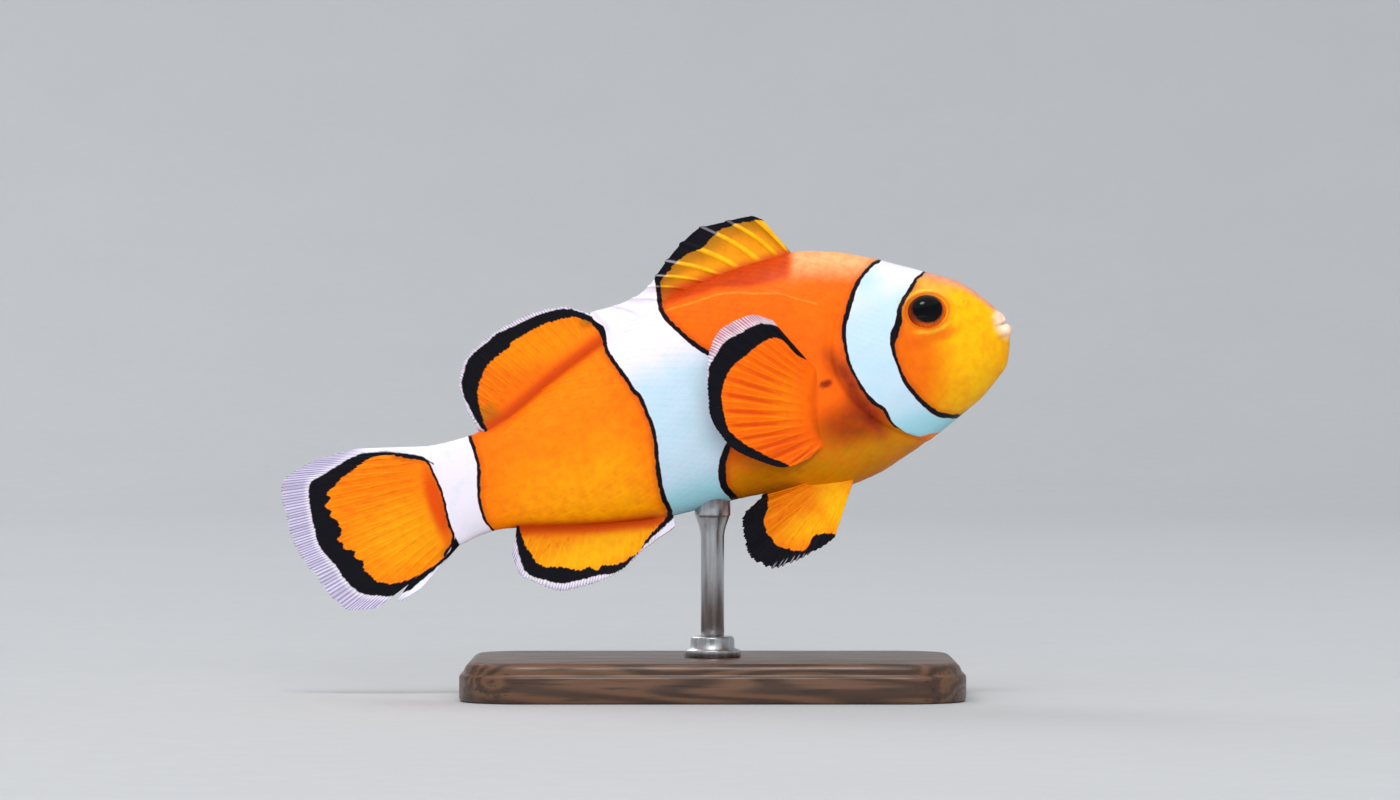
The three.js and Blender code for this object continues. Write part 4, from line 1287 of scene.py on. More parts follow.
def fin_web(finish, tints, streaks):
    """The web and its rays, with the soft areas laid over them."""
    rays_show = finish.soft(finish.field("ray"), 0.1, 0.9, 0, 0.65)
    ground = finish.mix(rays_show, tints["web"], tints["ray"])
    streak_tint = tints.get("streak", tints["deep"])
    ground = finish.mix(finish.soft(streaks, 0.5, 0.75, 0, 0.55), ground, streak_tint)
    ground = finish.mix(finish.field("warm"), ground, tints["warm"])
    # The deep areas: partly the fins' own darker red, partly painted shade at the roots and in the
    # pectoral fins' furrows.
    ground = finish.mix(finish.field("deep"), ground, tints["deep"])
    if "root" in tints:
        ground = finish.mix(finish.soft(finish.field("out"), 0.34, 0.08), ground, tints["root"])
    ground = finish.mix(finish.field("olive"), ground, OLIVE)
    ground = finish.mix(finish.field("glint"), ground, SPINE_YELLOW)
    # Painted shade in the folds where the fins leave the body.
    ground = finish.mix(finish.field("fold_shade"), ground, FOLD_SHADE_BROWN)
    mottle = finish.soft(finish.noise(1.0, detail=4), 0.4, 0.75, 0, 0.2)
    return finish.mix(mottle, ground, tints["deep"])


print("the fringe, light and dark:", FRINGE, FRINGE_DARK)

# %% The fins' fringe
STRANDS = 5


def fin_fringe(finish, fringe):
    """The milky web beyond the black margin, and its strands: 1 on them, 0 between them."""
    drift = ray_noise(finish, 0.7, 0.4)
    strand_tone = ray_noise(finish, 0.15, 0.2)
    phase = finish.times(finish.field("along"), STRANDS * 2 * math.pi)
    wave = finish.calc("SINE", finish.plus(phase, finish.times(drift, 7.0)))
    strands = finish.soft(finish.plus(wave, finish.times(strand_tone, 1.6)), 0.15, 1.1)
    milky = finish.mix(finish.soft(strand_tone, 0.4, 0.65, 0, 0.55), fringe, FRINGE_DARK)
    milky = finish.mix(strands, FRINGE_DARK, milky)
    milky = finish.mix(finish.soft(finish.field("outer"), 0.1, 0.9, 0.8, 0.0), milky, BAND_PINK)
    return finish.mix(finish.field("margin"), milky, MARGIN_WHITE), strands


print("pale strands to each ray:", STRANDS)


# %% The fins' finish
def fin_finish(name, tints, ragged=0.35, fringe=FRINGE, dense=0.88, melts=False):
    """A fin's finish; one that melts fades into the skin at its root."""
    finish = Finish(name)
    out = finish.field("out")
    streaks = ray_noise(finish, 0.2, 1.5)
    painted = banded(finish, fin_web(finish, tints, streaks))
    uneven = finish.times(finish.minus(streaks, 0.5), finish.soft(out, 0.2, 0.6, 0.12, 1))
    wander = finish.plus(finish.times(uneven, 2 * ragged), finish.sway(0.8, 0.08))
    within = finish.soft(finish.plus(finish.field("inner"), wander), -0.08, 0.08)
    painted = finish.mix(within, INK, painted)
    ray_tips = finish.soft(finish.field("ray"), 0.55, 1.0, 0, 0.7)
    painted = finish.mix(finish.times(finish.field("white_tip"), ray_tips), painted, BAND_PINK)
    wander = finish.plus(finish.sway(0.7, 0.1), finish.times(uneven, 0.4))
    beyond = finish.soft(finish.plus(finish.field("outer"), wander), -0.08, 0.1)
    milky, strands = fin_fringe(finish, fringe)
    finish.colour(finish.mix(beyond, painted, milky))
    cover = finish.soft(strands, 0, 1, dense - 0.35, dense)
    cover = finish.calc("MAXIMUM", cover, finish.field("margin"))
    solid = finish.minus(1.0, finish.times(beyond, finish.minus(1.0, cover)))
    if melts:
        solid = finish.times(solid, finish.soft(out, 0.03, 0.17))
    finish.plug(finish.shader.inputs["Alpha"], solid)
    finish.rough(finish.soft(streaks, 0.3, 0.7, 0.36, 0.52))
    finish.bump(finish.noise(0.25, detail=2), 0.2, 0.02)
    finish.set(Coat_Weight=0.04, Coat_Roughness=0.3, IOR=1.4, Specular_IOR_Level=0.14)
    finish.set(Subsurface_Weight=0.08, Subsurface_Scale=0.0006, Subsurface_Radius=(1, 0.35, 0.1))
    return finish.material


# %% Fin margins and soft areas
NO_BAND = -5.0


def edge_fields(spots, outer, inner, sense=1, bands=True):
    """Distances beyond the black margin's outer line and within its inner line."""
    back, _, up = spots.T
    beyond, _ = beside(outer, back, up)
    past, _ = beside(inner, back, up)
    nothing = np.zeros(len(spots))
    fields = {
        **band_tones(back, up), "outer": sense * beyond, "inner": -sense * past,
        "warm": nothing, "deep": nothing, "olive": nothing, "glint": nothing,
        "white_tip": nothing, "fold_shade": fold_shade_field(back, up), "margin": nothing,
    }
    if not bands:
        fields["white"] = np.full(len(spots), NO_BAND)
        fields["ink"] = np.full(len(spots), NO_BAND)
    return fields


print("band distance of a fin without bands, in mm:", NO_BAND)


# %% Sheets in the fish's middle plane, and flesh at their roots
def median_spot(root_back, root_up, edge_back, edge_up, lean):
    """A fin that stands in the fish's middle plane."""
    def spot(along, out):
        back = lerp(root_back(along), edge_back(along), out)
        up = lerp(root_up(along), edge_up(along), out)
        return np.stack([back, lean(along, out), up], -1)
    return spot


def ripple(size, waves):
    """A lean to either side in turn that grows towards the edge."""
    return lambda along, out: size * out * np.sin(along * waves * 2 * math.pi)


def corners(spot):
    """Where a sheet's first and last corner stand at its edge."""
    return np.round(spot(np.array([0.0, 1.0]), np.ones(2)), 1).tolist()


ROOT_DEPTH = 1.3


def fillet(over_skin, thick=0.5, reach=0.9):
    """Flesh that thins out over the first few millimetres of a fin."""
    return thick * np.exp(-np.maximum(over_skin, -0.3) / reach)


def over_back(middle, along, out):
    """The fillet of a fin on the back."""
    return fillet(middle[..., 2] - body_top(np.minimum(middle[..., 0], BODY_LENGTH)))


def under_belly(middle, along, out):
    """The fillet of a fin under the belly."""
    return fillet(body_bottom(np.minimum(middle[..., 0], BODY_LENGTH)) - middle[..., 2])


print("flesh over a fin's root in mm:", round(float(fillet(0)), 2))

# %% [markdown]
# ### The spiny dorsal fin
#
# Ten stout spines carry the front of the dorsal fin. They are yellow where the web between them
# darkens from amber to olive, a black margin runs over their tips, and its hind third already
# belongs to the white middle band.

# %% The spiny dorsal fin's sheet
SPINES = 10
SPINE_BOW = 0.7
spiny_root = curve([
    (0, 23.1), (0.05, 23.4), (0.15, 24.9), (0.25, 27.2), (0.35, 29.9), (0.45, 32.1), (0.55, 33.9),
    (0.65, 36.2), (0.75, 39.5), (0.85, 43.7), (0.95, 48), (1, 50.4)])
spiny_sheet = median_spot(
    spiny_root, lambda along: body_top(spiny_root(along)) - ROOT_DEPTH,
    curve([(0, 25.9), (0.05, 27), (0.15, 30.4), (0.25, 33.7), (0.35, 36.9), (0.45, 39.4),
           (0.55, 41.2), (0.65, 42.6), (0.75, 44.8), (0.85, 47.4), (0.95, 49.9), (1, 51)]),
    curve([(0, 22), (0.05, 22.8), (0.15, 23.4), (0.25, 23.5), (0.35, 22.3), (0.45, 20.7),
           (0.55, 19.3), (0.65, 18.3), (0.75, 17.4), (0.85, 17.2), (1, 17.2)]),
    ripple(0.35, 1.4))


def spiny_spot(along, out):
    """The sheet with its spines bowed forwards, as they lean back more towards their tips."""
    spots = spiny_sheet(along, out)
    bow = ease(along, 0, 0.15) * ease(along, 1, 0.88)
    spots[..., 0] -= SPINE_BOW * np.sin(math.pi * out) * bow
    return spots


print("spiny fin's corners in mm:", corners(spiny_spot))

# %% The spiny fin's markings
SPINY_INNER = smooth_line([
    (24, 19.5), (25.3, 21.2), (26.2, 22), (28, 22.3), (30, 22.4), (31.6, 22.2), (33, 21.5),
    (34.5, 20.8), (36, 20.7), (38, 20.1), (39.2, 19.3), (40.2, 18.7), (41.3, 17.9), (42.5, 17),
])
SPINY_OUTER = smooth_line([(22, 24.8), (30, 25), (36, 24), (41, 20), (41.6, 18), (41.8, 17)])
WHITE_TIPS = np.array([0, 0.2, 0.3, 0, 0.5, 0.55, 0.4, 0, 0, 0])  # one for each spine


def spiny_fields(spots, along, out):
    fields = edge_fields(spots, SPINY_OUTER, SPINY_INNER)
    back, _, up = spots.T
    fields["outer"] = np.full(len(spots), NO_BAND)
    fields["inner"] = np.maximum(fields["inner"], 4 * fields["white"])
    fields["olive"] = 0.72 * ease(fields["inner"], 2.8, 0.1) * ease(back, 41.6, 40.8)
    # the sheath's own red with painted shade at the fin's root
    fields["deep"] = sheath_field(back, up)
    number, _, spine = ray_pattern(along, out, SPINES, False)
    leading = ease(along, 0.05, 0.02)
    fields["glint"] = np.maximum(spine, leading) * ease(up, 16.8, 18)
    fields["white_tip"] = WHITE_TIPS[number.astype(int)] * ease(fields["inner"], 0.7, -0.2)
    return fields


print("spines with a pale tip:", int((WHITE_TIPS > 0).sum()), "of", SPINES)


# %% Make the spiny dorsal fin
def spiny_base(middle, along, out):
    """The fillet over the back, and a thinner hind end that hides in the soft fin."""
    return over_back(middle, along, out) - 0.035 * ease(along, 0.95, 0.975)


spiny_finish = fin_finish("spiny_fin", {
    "web": (0.8, 0.29, 0.003), "ray": FIN_YELLOW, "warm": FIN_AMBER, "deep": SHEATH_RED,
    "streak": (0.74, 0.24, 0.002),
}, ragged=0.3)
make_fin("dorsal_fin_spiny", spiny_spot, {
    "rays": SPINES, "forks": False, "per_ray": 26, "rows": 44, "seed": 3, "notch": 0.02,
    "fray": 0.004, "pleat": 0.1, "web": 0.11, "fairing": spiny_base, "bare_from": (0.15, 0.3),
    "rise": 0.28, "slot": "median_fin",
}, spiny_fields, spiny_finish)

# %% [markdown]
# ### The soft dorsal, anal and tail fins
#
# These three share one plan. Each is a fan of forking rays with a wide black margin and a pale
# fringe, and only their outlines, their lean and their colours differ.

# %% The soft dorsal fin's sheet
def soft_root(along):
    return lerp(49.9, 68, along)


soft_ripple = ripple(0.3, 1.3)
soft_spot = median_spot(
    soft_root, lambda along: body_top(soft_root(along)) - ROOT_DEPTH,
    curve([(0, 50.5), (0.1, 54), (0.25, 58.3), (0.4, 62.2), (0.55, 65.6), (0.7, 68.3),
           (0.82, 69.5), (0.92, 69.4), (1, 68.6)]),
    curve([(0, 17.1), (0.1, 19.2), (0.2, 19.5), (0.4, 18.8), (0.55, 17.6), (0.7, 15.5),
           (0.82, 12.9), (0.92, 10.2), (1, 7.9)]),
    lambda along, out: lerp(0.2 * out, -1.1 * out**2, ease(along, 0, 0.25)) + soft_ripple(along, out))
print("soft dorsal fin's corners in mm:", corners(soft_spot))

# %% The soft dorsal fin's markings
SOFT_OUTER = smooth_line([
    (49.9, 16), (50.3, 16.5), (51.5, 17.5), (53, 18.5), (55, 18.9), (57, 18.9), (59, 18.7),
    (61, 18.4), (62.8, 18.2), (64, 17.6), (66, 16.9), (67.5, 15.9), (68.3, 14.7), (69, 13.4),
    (69.2, 11.7), (69, 10.5), (68.6, 8.2), (67.8, 6),
])
SOFT_INNER = smooth_line([
    (49.9, 13.5), (50.4, 15), (51.2, 16.3), (52.7, 17.3), (54, 17.5), (56, 17.6), (58, 17.4),
    (59, 17.1), (61, 16.7), (62, 16), (63.5, 15.5), (65, 14.8), (66.3, 13.5), (67.3, 12),
    (67.6, 10.8), (67.8, 8), (67.4, 6),
])


def soft_fields(spots, along, out):
    fields = edge_fields(spots, SOFT_OUTER, SOFT_INNER)
    back, _, up = spots.T
    over_skin = up - body_top(np.minimum(back, BODY_LENGTH))
    # The darker sheath at the root, with painted shade where the fin leaves the body.
    fields["deep"] = 0.75 * ease(over_skin, 1.7, 0.3)
    hind_root = area(back, up, (67, 8.4), (1.5, 1.6))
    front_tip = area(back, up, (51.4, 16.2), (0.9, 0.7), 0.6)
    fields["olive"] = 0.6 * np.maximum(hind_root, front_tip)
    fields["margin"] = ease(back, 54, 51)
    fields["warm"] = 0.8 * area(back, up, (58, 15.2), (6, 2.2), 0.7)
    return fields


print("points on the margin's lines:", len(SOFT_OUTER), len(SOFT_INNER))

# %% Make the soft dorsal fin
# The anal fin shares this part of the recipe.
SOFT_RAYED = {
    "forks": True, "per_ray": 26, "notch": 0.02, "fray": 0.01, "pleat": 0.06, "web": 0.1,
    "bare_from": (0.2, 0.6), "rise": 0.08, "slot": "median_fin",
}
soft_finish = fin_finish("soft_fin", {
    "web": (0.86, 0.16, 0.001), "ray": FIN_AMBER, "warm": FIN_AMBER, "deep": DEEP_ORANGE})
make_fin("dorsal_fin_soft", soft_spot, {
    **SOFT_RAYED, "rays": 14, "rows": 52, "seed": 5, "fairing": over_back,
}, soft_fields, soft_finish)

# %% The anal fin's sheet
def anal_root(along):
    return lerp(48, 67.4, along)


anal_spot = median_spot(
    anal_root, lambda along: body_bottom(anal_root(along)) + ROOT_DEPTH,
    curve([(0, 48.4), (0.15, 53), (0.3, 57.2), (0.45, 61.2), (0.6, 64.8), (0.72, 67.4),
           (0.85, 69.4), (0.94, 69.5), (1, 68.2)]),
    curve([(0, -12.3), (0.15, -13.8), (0.3, -15.7), (0.42, -16.1), (0.6, -15.7), (0.72, -14),
           (0.85, -11.7), (0.94, -9.6), (1, -7.1)]),
    lambda along, out: -2.4 * out**2 * np.sin(math.pi * np.minimum(1, along + 0.1)))
print("anal fin's corners in mm:", corners(anal_spot))

# %% The anal fin's markings
ANAL_OUTER = smooth_line([
    (45, -9.5), (48.2, -11.1), (50, -12), (52, -12.9), (54, -14.1), (56, -15.2), (57.5, -15.6),
    (58.7, -15.4), (60, -15.2), (63.5, -15), (65, -14.6), (66.3, -13.8), (68.1, -12.5),
    (68.6, -11), (68.5, -8.6), (68, -6), (67, -4),
])
ANAL_INNER = smooth_line([
    (47, -9.8), (49, -10.8), (50.5, -11.6), (52.5, -12.8), (53.5, -13.8), (55, -14.3),
    (57, -14.6), (58.8, -14.2), (59.6, -14.6), (60.2, -14), (62, -13.8), (63.5, -13),
    (65, -12.4), (66, -12.1), (66.8, -11), (67.2, -9.8), (67.5, -8.5), (67.4, -6), (66.5, -4),
])


def anal_fields(spots, along, out):
    fields = edge_fields(spots, ANAL_OUTER, ANAL_INNER, -1)
    back, _, up = spots.T
    under_skin = body_bottom(np.minimum(back, BODY_LENGTH)) - up
    # The darker sheath at the root, with painted shade where the fin leaves the body.
    fields["deep"] = 0.8 * ease(under_skin, 1.7, 0.4)
    fields["margin"] = ease(back, 53, 50)
    fields["warm"] = 0.9 * area(back, up, (58.5, -12.2), (7, 1.8), 0.6)
    return fields


print("points on the margin's lines:", len(ANAL_OUTER), len(ANAL_INNER))

# %% Make the anal fin
anal_finish = fin_finish("anal_fin", {
    "web": (0.85, 0.27, 0.001), "ray": FIN_YELLOW, "warm": FIN_YELLOW, "deep": DEEP_ORANGE})
make_fin("anal_fin", anal_spot, {
    **SOFT_RAYED, "rays": 13, "rows": 48, "seed": 7, "fairing": under_belly,
}, anal_fields, anal_finish)

# %% The tail fin's sheet
TAIL_RAYS = 16
tail_spot = median_spot(
    lambda along: BODY_LENGTH - ROOT_DEPTH + 0 * along, lambda along: lerp(7.1, -6.2, along),
    curve([(0, 84.5), (0.07, 89.2), (0.14, 93), (0.19, 94.8), (0.25, 95.6), (0.33, 95.9),
           (0.42, 96.1), (0.52, 95.9), (0.61, 95.3), (0.71, 93.8), (0.8, 91.8), (0.86, 89.8),
           (0.92, 87.3), (0.96, 85), (1, 82)]),
    curve([(0, 9.6), (0.07, 9.8), (0.14, 9.4), (0.19, 8.7), (0.25, 7), (0.33, 4.6), (0.42, 2),
           (0.52, -0.9), (0.61, -3.2), (0.71, -6.7), (0.8, -9.9), (0.86, -10.4), (0.92, -10.9),
           (0.96, -10.8), (1, -10.1)]),
    lambda along, out: 0.6 * out**2 * np.cos(along * math.pi))
print("tail fin's corners in mm:", corners(tail_spot))

# %% The tail fin's markings
TAIL_OUTER = smooth_line([
    (74, 3.4), (76, 5.3), (76.7, 6.1), (78, 6.8), (79.5, 7.45), (81, 8.1), (84, 8.8), (86, 8.6),
    (88, 8.1), (90, 7.6), (91.5, 7.2), (92.2, 5.8), (92.6, 3.5), (92.8, 1.5), (92.9, -0.6),
    (92.3, -2.5), (91.6, -4), (91, -6), (90, -7.8), (88.8, -8.8), (87.7, -9.2), (86.3, -9.8),
    (84.6, -9.9), (83, -9.7), (81.5, -9.1), (79, -8), (77.4, -7.3), (76, -6.9), (74, -6.8),
])
TAIL_INNER = smooth_line([
    (74.2, 3.2), (76.2, 5.3), (77, 6.05), (78.5, 6.75), (80, 7.3), (82, 7.9), (83.5, 7.85), (86, 7),
    (88, 6.2), (89.3, 5.6), (90, 4.5), (90.4, 3), (89.8, 1.5), (89.5, 0.3), (90.2, -1.2),
    (89, -3), (88.3, -4.3), (88, -6), (87, -7.5), (85.5, -8.3), (83.5, -8.5), (81.5, -8.3),
    (79, -7.6), (77, -6.6), (76.2, -5.6), (74.5, -4),
])


def tail_fields(spots, along, out):
    fields = edge_fields(spots, TAIL_OUTER, TAIL_INNER)
    back, _, up = spots.T
    scallop = 0.2 + 0.12 * np.sin(along * 23)
    fields["inner"] += scallop * np.cos(2 * math.pi * (along * TAIL_RAYS - 0.5)) * ease(back, 84, 88)
    fields["warm"] = 0.5 * area(back, up, (81.5, -3), (6, 4), 0.7)
    root = area(back, up, (76.7, -0.5), (1.1, 4.8), 0.5)
    upper_lobe = area(back, up, (84, 5), (5.5, 2.2), 0.7)
    fields["deep"] = np.maximum(0.95 * root, 0.12 * upper_lobe)
    fields["margin"] = ease(back, 87, 83)
    return fields


print("points on the margin's lines:", len(TAIL_OUTER), len(TAIL_INNER))


# %% Make the tail fin
def tail_root(middle, along, out):
    """The stalk's flesh, which runs on into the tail fin and thins out between its rays."""
    thinning = ease(middle[..., 0], 84, 75.6) ** 1.6
    return 1.22 * thinning * np.sqrt(np.maximum(0, 1 - (2 * along - 1) ** 2))


tail_finish = fin_finish("tail_fin", {
    "web": (0.92, 0.22, 0.001), "ray": FIN_AMBER, "warm": FIN_YELLOW, "deep": DEEP_ORANGE,
}, ragged=0.4)
make_fin("tail_fin", tail_spot, {
    "rays": TAIL_RAYS, "forks": True, "per_ray": 26, "rows": 64, "seed": 9, "notch": 0.014,
    "fray": 0.008, "pleat": 0.05, "web": 0.1, "fairing": tail_root, "bare_from": (0.05, 0.35),
    "rise": 0.07, "slot": "median_fin", "tears": [(0.925, 0.028, 0.33)],
}, tail_fields, tail_finish)

# %% [markdown]
# ### The paired fins
#
# The pectoral fins scull, so they are broad fans that stand off the flank and cup a little. The
# pelvic fins hang under the belly, splayed to each side. The left ones mirror the right ones,
# apart from how far the pectoral fin is lifted and how each ray happens to lean.

# %% The pectoral fins' sheets
PECTORAL_LIFT = {RIGHT: 27.5, LEFT: 30}
PECTORAL_FLAT = 1.5
PECTORAL_CUP = 0.25
PECTORAL_STRETCH = 1.12
pectoral_edge_back = curve([
    (0, 28.7), (0.12, 31), (0.25, 34.6), (0.38, 37.4), (0.5, 39), (0.62, 39.8), (0.74, 38.8),
    (0.86, 35.5), (0.94, 32.3), (1, 29.2)])
pectoral_edge_up = curve([
    (0, 9.2), (0.14, 10.6), (0.25, 10.2), (0.38, 8.1), (0.5, 4.2), (0.62, 0), (0.74, -4),
    (0.86, -7.5), (0.94, -9.2), (1, -9)])


def pectoral_spot(flank):
    """A sheet that leaves the flank along its skin and then stands off it."""
    lift = math.tan(math.radians(PECTORAL_LIFT[flank]))

    def spot(along, out):
        root_back, root_up = lerp(24.9, 26.8, along), lerp(0.5, -7.8, along)
        back = lerp(root_back, pectoral_edge_back(along), out)
        up = lerp(root_up, pectoral_edge_up(along), out)
        reach = np.hypot(back - root_back, up - root_up)
        off_skin = reach - PECTORAL_FLAT * (1 - np.exp(-reach / PECTORAL_FLAT))
        rise = lift * off_skin * (1 - PECTORAL_CUP * out) * PECTORAL_STRETCH
        skin_side = half_width_at(root_back, root_up)
        return np.stack([back, flank * (skin_side - ROOT_DEPTH * (1 - out) ** 6 + rise), up], -1)
    return spot


print("right pectoral fin's corners in mm:", corners(pectoral_spot(RIGHT)))

# %% The pectoral fins' markings
PECTORAL_RAYS = 15
PECTORAL_OUTER = smooth_line([
    (26.5, 7), (28.4, 8.3), (29.8, 9), (31, 9.2), (33, 8.8), (35, 8.4), (36, 7.8), (37, 6.9),
    (38, 6), (38.5, 4.8), (39.7, 3.4), (40.4, 1.5), (40.8, 0), (40.6, -1.5), (40, -3.2),
    (39.2, -4.6), (38, -6), (36.5, -7.4), (35, -8.6), (33.6, -9.6), (32.4, -10.2), (30, -11),
])
PECTORAL_INNER = smooth_line([
    (26, 3), (27, 4), (27.9, 5.8), (28.5, 6.6), (29.5, 7), (31, 6.8), (33, 6), (35, 5.2),
    (36, 4.5), (37.5, 2.5), (38, 0.5), (38.2, -1.5), (38, -2.7), (37.3, -4), (36.5, -5),
    (35.5, -6), (34.3, -7.2), (33.3, -8), (32.5, -8.7), (31.5, -9.8), (30, -11),
])


def pectoral_fields(spots, along, out):
    fields = edge_fields(spots, PECTORAL_OUTER, PECTORAL_INNER, bands=False)
    back, _, up = spots.T
    _, across, _ = ray_pattern(along, out, PECTORAL_RAYS, True)
    # Painted shade in the furrows between the rays and over the fin's lower part.
    furrow_shade = ease(np.abs(across), 0.24, 0.48) * ease(out, 0.3, 0.55) * ease(out, 0.9, 0.78)
    # Painted shade where the fin's root meets the body.
    fields["fold_shade"] = 0.8 * gill_dusk_shade_field(back, up)
    fields["warm"] = 0.45 * area(back, up, (30, -1), (3, 3), 0.7)
    low_shade = area(back, up, (32, -6.5), (3, 1.6), 0.8)
    fields["deep"] = np.maximum(0.75 * furrow_shade * ease(up, 6, 1), 0.5 * low_shade)
    return fields


print("points on the margin's lines:", len(PECTORAL_OUTER), len(PECTORAL_INNER))


# %% Make the pectoral fins
def pectoral_root(middle, along, out):
    """The lobe that the pectoral fin grows from, which leaves the flank without a step."""
    return 1.2 * np.exp(-6 * out) * (0.3 + 0.7 * np.sqrt(np.sin(math.pi * np.clip(along, 0, 1))))


pectoral_finish = fin_finish("pectoral_fin", {
    "web": (0.95, 0.135, 0.001), "ray": (1, 0.22, 0.001), "warm": (1, 0.25, 0.001),
    "deep": (0.66, 0.05, 0.001), "streak": (0.9, 0.11, 0.001), "root": ORANGE,
}, ragged=0.2, fringe=(0.93, 0.68, 0.74), dense=0.8, melts=True)
for name, flank in (("pectoral_fin_right", RIGHT), ("pectoral_fin_left", LEFT)):
    make_fin(name, pectoral_spot(flank), {
        "rays": PECTORAL_RAYS, "forks": True, "per_ray": 24, "rows": 52, "seed": 21 + flank,
        "notch": 0.004, "fray": 0.004, "pleat": 0.14, "web": 0.1, "fairing": pectoral_root,
        "bare_from": (0.12, 0.45), "rise": 0.1, "slot": "paired_fin",
    }, pectoral_fields, pectoral_finish)

# %% The pelvic fins' sheets
pelvic_edge_back = curve([(0, 29.4), (0.2, 33.4), (0.4, 37.6), (0.6, 40.5), (0.8, 40), (1, 36)])
pelvic_edge_up = curve([
    (0, -19.7), (0.2, -20.7), (0.4, -21.2), (0.6, -18.2), (0.8, -14.2), (1, -11.7)])


def pelvic_spot(flank):
    """A sheet that leans outwards, and more so at its hind rays."""
    def spot(along, out):
        back = lerp(lerp(24.2, 29, along), pelvic_edge_back(along), out)
        up = lerp(lerp(-12.6, -12, along), pelvic_edge_up(along), out)
        return np.stack([back, flank * (1.7 + 3.4 * out + 1.6 * along * out), up], -1)
    return spot


print("right pelvic fin's corners in mm:", corners(pelvic_spot(RIGHT)))

# %% The pelvic fins' markings
PELVIC_OUTER = smooth_line([(26, -20.6), (30, -21.6), (37, -22.4), (41.5, -18), (40, -11)])
PELVIC_INNER = smooth_line([
    (27.6, -20.4), (29.4, -19.1), (31, -18.6), (32, -18.8), (33, -19.6), (34, -20),
    (34.5, -19.7), (35.5, -19.2), (36.3, -18.6), (36.9, -18.1), (37, -17.4), (37.4, -16.6),
    (37.4, -15.8), (37.2, -14.7), (36.4, -13.6), (36, -12.5), (35.8, -11.7), (35.4, -10),
])


def pelvic_fields(spots, along, out):
    fields = edge_fields(spots, PELVIC_OUTER, PELVIC_INNER, -1, bands=False)
    back, _, up = spots.T
    front = area(back, up, (27.6, -15.6), (2.4, 3.2), 0.7)
    middle = area(back, up, (32, -17.3), (3, 1.6), 0.7)
    fields["warm"] = np.maximum(front, 0.8 * middle)
    fields["white_tip"] = 0.5 * area(back, up, (35.6, -20.7), (2.6, 0.35), 0.4)
    return fields


print("points on the margin's lines:", len(PELVIC_OUTER), len(PELVIC_INNER))


# %% Make the pelvic fins
def pelvic_root(middle, along, out):
    """A fleshy pad, thick at the root's middle."""
    return (1 - out) ** 4 * (0.3 + 0.7 * np.sin(math.pi * np.clip(along, 0, 1)))


pelvic_finish = fin_finish("pelvic_fin", {
    "web": (0.8, 0.2, 0.001), "ray": FIN_AMBER, "warm": FIN_YELLOW, "deep": DEEP_ORANGE})
for name, flank in (("pelvic_fin_right", RIGHT), ("pelvic_fin_left", LEFT)):
    make_fin(name, pelvic_spot(flank), {
        "rays": 6, "forks": True, "per_ray": 34, "rows": 48, "seed": 31 + flank, "notch": 0.02,
        "fray": 0.01, "pleat": 0.22, "web": 0.11, "fairing": pelvic_root, "bare_from": (0.08, 0.3),
        "rise": 0.13, "slot": "paired_fin",
    }, pelvic_fields, pelvic_finish)

# %% [markdown]
# ## The stand
#
# The real fish swims free, so a plain stand carries it: a dark wooden base, a slim steel rod
# with a flared cup under the belly, and a collar where the rod enters the wood. They are turned
# and shaped finely here, at the size of the solids that they stand for.

# %% Turned and edged shapes
ROUND_POINTS = 96


def turned_piece(name, profile, finish):
    """A turned piece from radius and height, closed at both ends or on itself."""
    profile = np.array(profile, float)
    around = np.arange(ROUND_POINTS) * 2 * math.pi / ROUND_POINTS
    radius, height = profile[:, 0][:, None], profile[:, 1][:, None]
    rings = np.stack([radius * np.cos(around), radius * np.sin(around), height + 0 * around], -1)
    if profile[0].tolist() == profile[-1].tolist():
        rings = rings[:-1]
        count = len(rings) * ROUND_POINTS
        faces = grid_faces(len(profile), ROUND_POINTS, closed=True)
        faces = [[n % count for n in face] for face in faces]
    else:
        faces = lidded_faces(len(profile), ROUND_POINTS)
    make_piece(name, rings.reshape(-1, 3) * MM, faces, finish, "stand_steel", None, [name])


def rounded(corner, start, end, radius, steps=5):
    """Points of a round edge about a corner's middle, between two angles in degrees."""
    angles = np.radians(np.linspace(start, end, steps))
    return [(corner[0] + radius * math.cos(a), corner[1] + radius * math.sin(a)) for a in angles]


# %% Brushed steel
STEEL_DARK = (0.42, 0.43, 0.45)
STEEL_LIGHT = (0.66, 0.67, 0.68)


def steel_finish():
    finish = Finish("brushed_steel")
    brush = finish.noise(0.5, detail=4, stretch=(1, 1, 0.06))
    finish.colour(finish.mix(finish.soft(brush, 0.3, 0.7), STEEL_DARK, STEEL_LIGHT))
    finish.rough(finish.soft(brush, 0.3, 0.7, 0.3, 0.46))
    finish.bump(brush, 0.12, 0.02)
    finish.set(Metallic=1)
    return finish.material


steel = steel_finish()
print("nodes in the steel's finish:", len(steel.node_tree.nodes))

# %% Where the stand's parts meet
_, base_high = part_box("stand_base")
_, collar_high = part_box("stand_collar")
_, rod_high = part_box("stand_rod")
base_top = base_high.z / MM
collar_radius = collar_high.x / MM
collar_top = collar_high.z / MM
cup_radius = rod_high.x / MM
belly_up = float(to_metres([ROD_BACK, 0, body_bottom(ROD_BACK)])[2]) / MM
print("belly over the floor in mm:", round(belly_up, 1))

